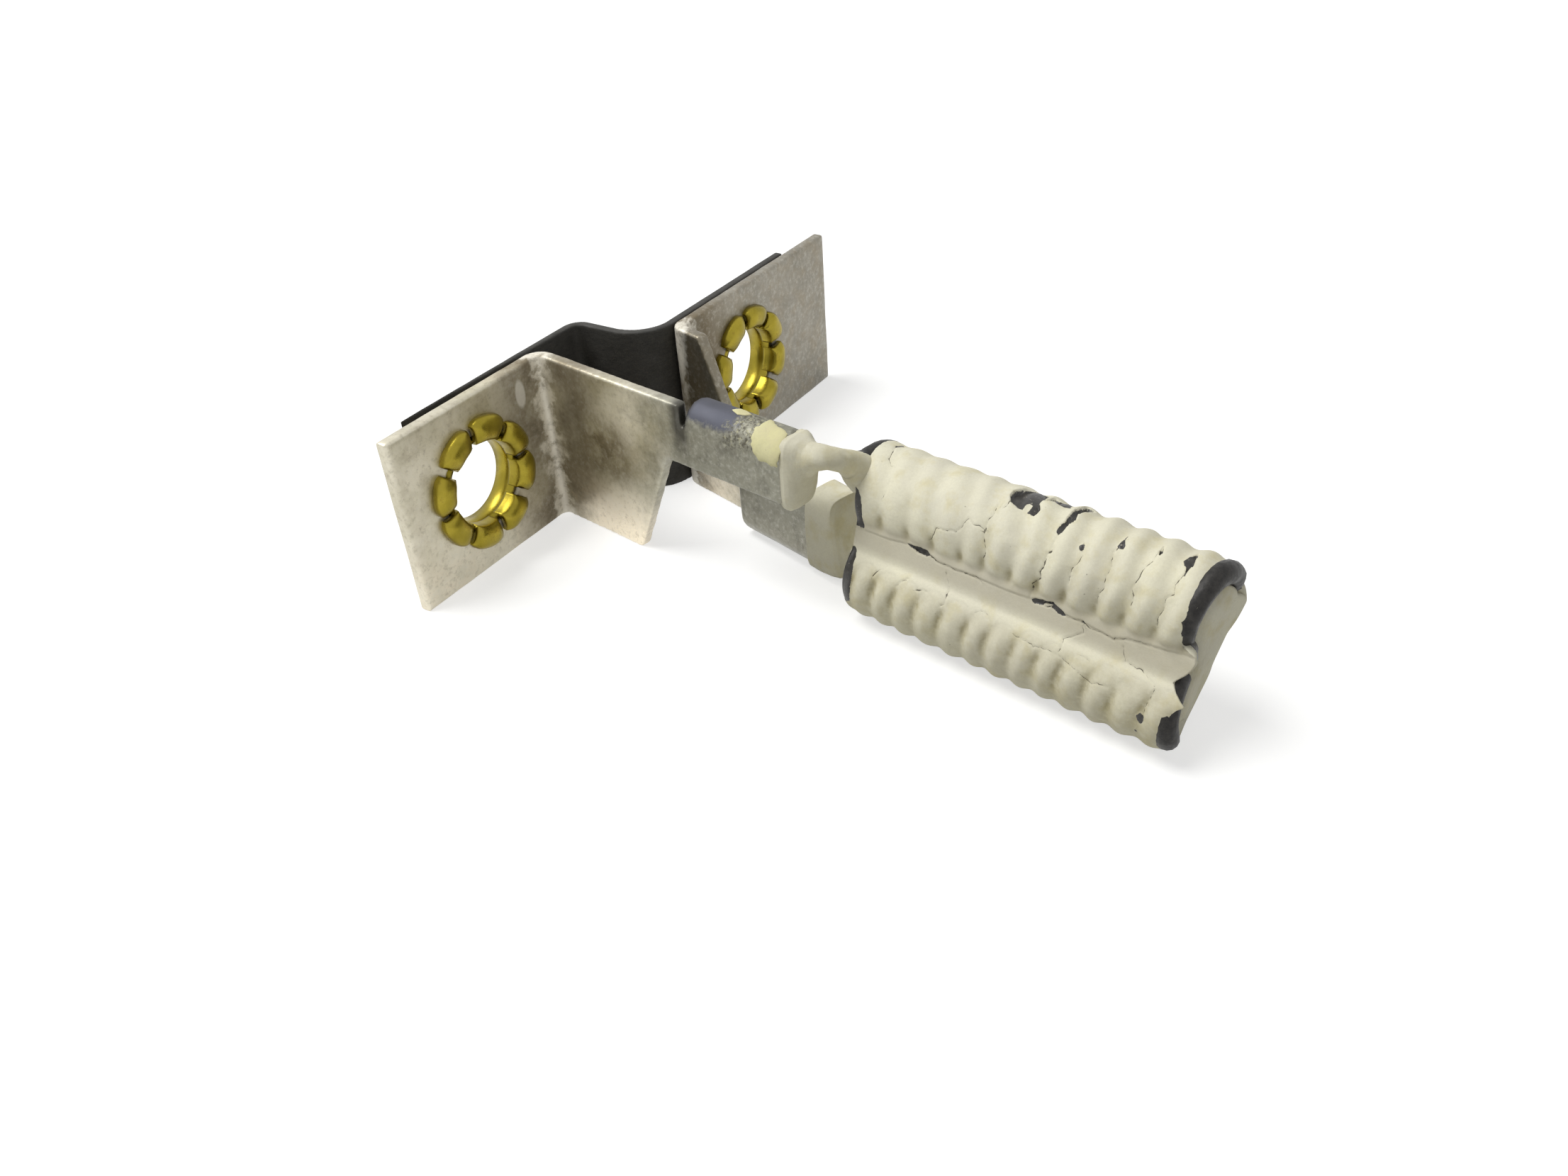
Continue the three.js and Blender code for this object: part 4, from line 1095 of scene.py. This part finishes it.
LEFT_COAT = [(-0.1, 1.1, 2.75, 1.12, 0.45), (0.2, 1.12, 2.8, 1.12, 0.45),
             (0.42, 1.05, 2.72, 1.03, 0.5), (0.62, 0.96, 2.4, 0.94, 0.6),
             (0.8, 0.86, 1.8, 0.84, 0.75), (1.02, 0.76, 1.05, 0.74, 0.9),
             (1.4, 0.66, 0.72, 0.64, 1.0), (2.0, 0.6, 0.62, 0.56, 1.0),
             (2.8, 0.6, 0.66, 0.54, 1.0), (3.3, 0.66, 0.9, 0.52, 1.0), (3.8, 0.8, 1.3, 0.5, 1.0),
             (4.4, 0.9, 1.6, 0.5, 1.0), (5.0, 0.9, 1.6, 0.45, 1.0)]
RIGHT_COAT = [(-0.9, 1.27, 1.08, 3.5, 0.4), (-0.85, 1.3, 1.12, 3.6, 0.4),
              (0.6, 1.3, 1.15, 3.6, 0.4), (1.15, 1.26, 1.15, 3.45, 0.42),
              (1.35, 1.18, 1.12, 3.15, 0.5), (1.52, 1.06, 1.07, 2.6, 0.65),
              (1.72, 0.95, 1.0, 1.6, 0.85), (1.95, 0.86, 0.9, 1.05, 1.0),
              (2.4, 0.8, 0.85, 0.9, 1.0), (3.0, 0.9, 0.95, 1.0, 1.0), (3.8, 1.1, 1.1, 1.2, 1.0)]


# ---- eyelets

BORE, BARREL, PETAL_REACH = 2.35, 2.65, 3.78
PETALS, SLIT_TURN = 8, math.radians(7)
EYELET_SIDES = 96
ACROSS, OVER = 15, 20
IN_BARREL = 0.22

LEFT_EYELET, RIGHT_EYELET = (-5.6, 0.0), (12.45, -5.1)

# Section of the barrel and rear flange: radius, and depth behind the front of the tab
EYELET_SECTION = [(BORE, 0.1), (BORE, 1.42), (BORE + 0.14, 1.54), (BORE + 0.4, 1.56),
                  (3.55, 1.56), (3.68, 1.5), (3.7, 1.4), (3.68, 1.3), (3.55, 1.27),
                  (BARREL, 1.26), (BARREL, 0.1)]


def petal_faces():
    """Front, back and rim of a petal, whose back points follow its front points."""
    index = np.arange(OVER * ACROSS).reshape(OVER, ACROSS)
    a = index[:-1, :-1].ravel()
    front = np.stack([a, a + 1, a + ACROSS + 1, a + ACROSS], axis=1)
    back = index.size + front[:, [0, 3, 2, 1]]
    rim = np.concatenate([index[0], index[1:, -1], index[-1, -2::-1], index[-2:0:-1, 0]])
    after = np.roll(rim, -1)
    return np.concatenate([np.stack([front, back], axis=1).reshape(-1, 4),
                           np.stack([after, rim, index.size + rim, index.size + after], axis=1)])


def petal_points(middle, rng, place):
    """Up out of the barrel, over the roll and down to the tab."""
    reach = PETAL_REACH - 0.16 * rng.random()
    swell = 0.6 + 0.06 * rng.random()
    twist = 0.03 * (rng.random() - 0.5)
    gap = 0.15 + 0.06 * rng.random()
    v = np.repeat(np.arange(OVER) / (OVER - 1), ACROSS)
    u = np.tile(2 * np.arange(ACROSS) / (ACROSS - 1) - 1, OVER)
    turn = np.maximum(v - IN_BARREL, 0) / (1 - IN_BARREL) * math.pi
    rolled = v > IN_BARREL
    radius = np.where(rolled, (BORE + reach) / 2 - (reach - BORE) / 2 * np.cos(turn), BORE - 0.02)
    rise = np.where(rolled, 0.05 + (swell - 0.05) * np.sin(turn) ** 0.62,
                    -0.45 + v / IN_BARREL * 0.5)
    side = np.abs(u) ** 4
    rise = rise - 0.3 * side * smooth(0.2, 0.45, v)
    radius = radius - 0.3 * side * smooth(0.72, 1.0, v)
    half_width = radius * math.sin(math.pi / PETALS) - gap
    angle = middle + np.arcsin(np.clip(u * half_width / radius, -1, 1)) + twist
    front = place(radius, angle, -np.maximum(rise, -0.5))
    depth = np.where(rolled, 0.25 - rise, -rise)
    return np.concatenate([front, place(radius + 0.22 * np.cos(turn), angle,
                                        np.minimum(depth, 0.6))])


def make_eyelet(name, node, x, y, seed):
    """A barrel whose end is split into petals that are rolled over the tab."""
    points, faces = [], []

    def add(new_points, new_faces):
        start = len(points)
        points.extend(new_points)
        faces.extend(tuple(i + start for i in f) for f in outward(new_points, new_faces))

    def place(radius, angle, depth):
        radius, angle, depth = np.broadcast_arrays(radius, angle, depth)
        return np.stack([x + radius * np.cos(angle), y + depth,
                         STRIP_HEIGHT / 2 + radius * np.sin(angle)], axis=-1)

    around = np.arange(EYELET_SIDES) / EYELET_SIDES * 2 * math.pi
    rings = np.array([place(r, around, d) for r, d in EYELET_SECTION])
    body = [tuple(f) for f in grid_faces(len(rings), EYELET_SIDES)]
    last = (len(rings) - 1) * EYELET_SIDES
    after = [(k + 1) % EYELET_SIDES for k in range(EYELET_SIDES)]
    body += [(last + k, last + b, b, k) for k, b in enumerate(after)]
    add(list(rings.reshape(-1, 3)), body)

    rng = np.random.default_rng(seed)
    for petal in range(PETALS):
        middle = SLIT_TURN + (petal + 0.5) * 2 * math.pi / PETALS
        add(list(petal_points(middle, rng, place)), petal_faces().tolist())
    eyelet = mesh_piece(name, points, faces, BRASS)
    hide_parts(node)
    return eyelet


# ---- the assembled scene

CEMENT = cement_material("cement", rgb(236, 232, 207), rgb(228, 224, 203))
SPLASH = cement_material("cement_splash", rgb(230, 226, 180), rgb(222, 216, 164))
WIRE = wire_material()
LEFT_ARM_WAY = (math.sin(LEFT_ARM_TURN), -math.cos(LEFT_ARM_TURN), 0.0)
RIGHT_ARM_WAY = (-math.sin(RIGHT_ARM_TURN), -math.cos(RIGHT_ARM_TURN), 0.0)
LEFT_SHEET = terminal_material("nickel_sheet_left", (0, 0, 0), LEFT_ARM_WAY, (-1, 0, 0),
                               LEFT_CRIMP_START, rgb(198, 192, 170), rgb(226, 220, 202), 0.3)
RIGHT_SHEET = terminal_material("nickel_sheet_right", RIGHT_BEND, RIGHT_ARM_WAY, (1, 0, 0),
                                RIGHT_CRIMP_START, rgb(130, 126, 114), rgb(156, 151, 139), 0.6)
BRASS = brass_material()
INSULATOR = insulator_material()


VOXEL, WAVE_LENGTH = 0.085, 2.2
SHEET_ROUNDING, SHEET_WAVES = 14, 0.05
STRIP_ROUNDING, STRIP_WAVES = 4, 0.03


def dress_node(node, material, rounding, unevenness):
    """Gives a kept solid its material, rounds its edges and makes its faces slightly uneven.
    The voxel remesh loses 1.3 mm at the left end of the insulating strip."""
    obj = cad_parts[node]
    obj.data.materials.clear()
    obj.data.materials.append(material)
    remesh = obj.modifiers.new("fine", "REMESH")
    remesh.mode = "VOXEL"
    remesh.voxel_size = VOXEL * MM
    remesh.use_smooth_shade = True
    soften = obj.modifiers.new("soften", "SMOOTH")
    soften.factor = 0.5
    soften.iterations = rounding
    clouds = bpy.data.textures.new(node, "CLOUDS")
    clouds.noise_scale = WAVE_LENGTH * MM
    waves = obj.modifiers.new("waves", "DISPLACE")
    waves.texture = clouds
    waves.strength = unevenness * MM
    waves.mid_level = 0.5


def make_floor():
    """A pale table that keeps the object's shadow."""
    n = Nodes("table")
    fleck = n.noise(6.0, 3.0)
    n.finish(n.mix(fleck, rgb(190, 190, 188), rgb(194, 194, 192)), 0.75)
    n.shader.inputs["Emission Color"].default_value = (1.0, 1.0, 1.0, 1.0)
    n.link(n.product(seen_directly(n.tree), FLOOR_GLOW), n.shader.inputs["Emission Strength"])
    corners = [(-FLOOR_SIDE, -FLOOR_SIDE, 0), (FLOOR_SIDE, -FLOOR_SIDE, 0),
               (FLOOR_SIDE, FLOOR_SIDE, 0), (-FLOOR_SIDE, FLOOR_SIDE, 0)]
    floor = mesh_piece("table", corners, [(0, 1, 2, 3)], n.material)
    floor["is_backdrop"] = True


make_camera()
make_world()
area_lamp("key", KEY_PLACE, KEY_TARGET, KEY_SIZE, KEY_POWER)
make_floor()

dress_node("terminal_left", LEFT_SHEET, SHEET_ROUNDING, SHEET_WAVES)
dress_node("terminal_right", RIGHT_SHEET, SHEET_ROUNDING, SHEET_WAVES)
dress_node("insulator_strip", INSULATOR, STRIP_ROUNDING, STRIP_WAVES)

path, left_lead, right_lead = wire_paths()
made = [
    (make_wire(path), "resistance_wire"),
    (make_coat(), "cement"),
    (make_lead_cement("lead_coat_left", left_lead, LEFT_COAT, "lead_cement_left", 31, 0.22),
     "cement"),
    (make_lead_cement("lead_coat_right", right_lead, RIGHT_COAT, "lead_cement_right", 41, 0.12),
     "cement"),
    (make_dab("cement_dab", DAB, 0.07, 51), "cement"),
    (make_dab("cement_dab_small", SMALL_DAB, 0.05, 57), "cement"),
    (make_eyelet("eyelet_petals_left", "eyelet_left", *LEFT_EYELET, 5), "eyelet_brass"),
    (make_eyelet("eyelet_petals_right", "eyelet_right", *RIGHT_EYELET, 9), "eyelet_brass"),
]
for piece, slot in made:
    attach(piece, "root")

bpy.context.scene.view_settings.view_transform = "Standard"
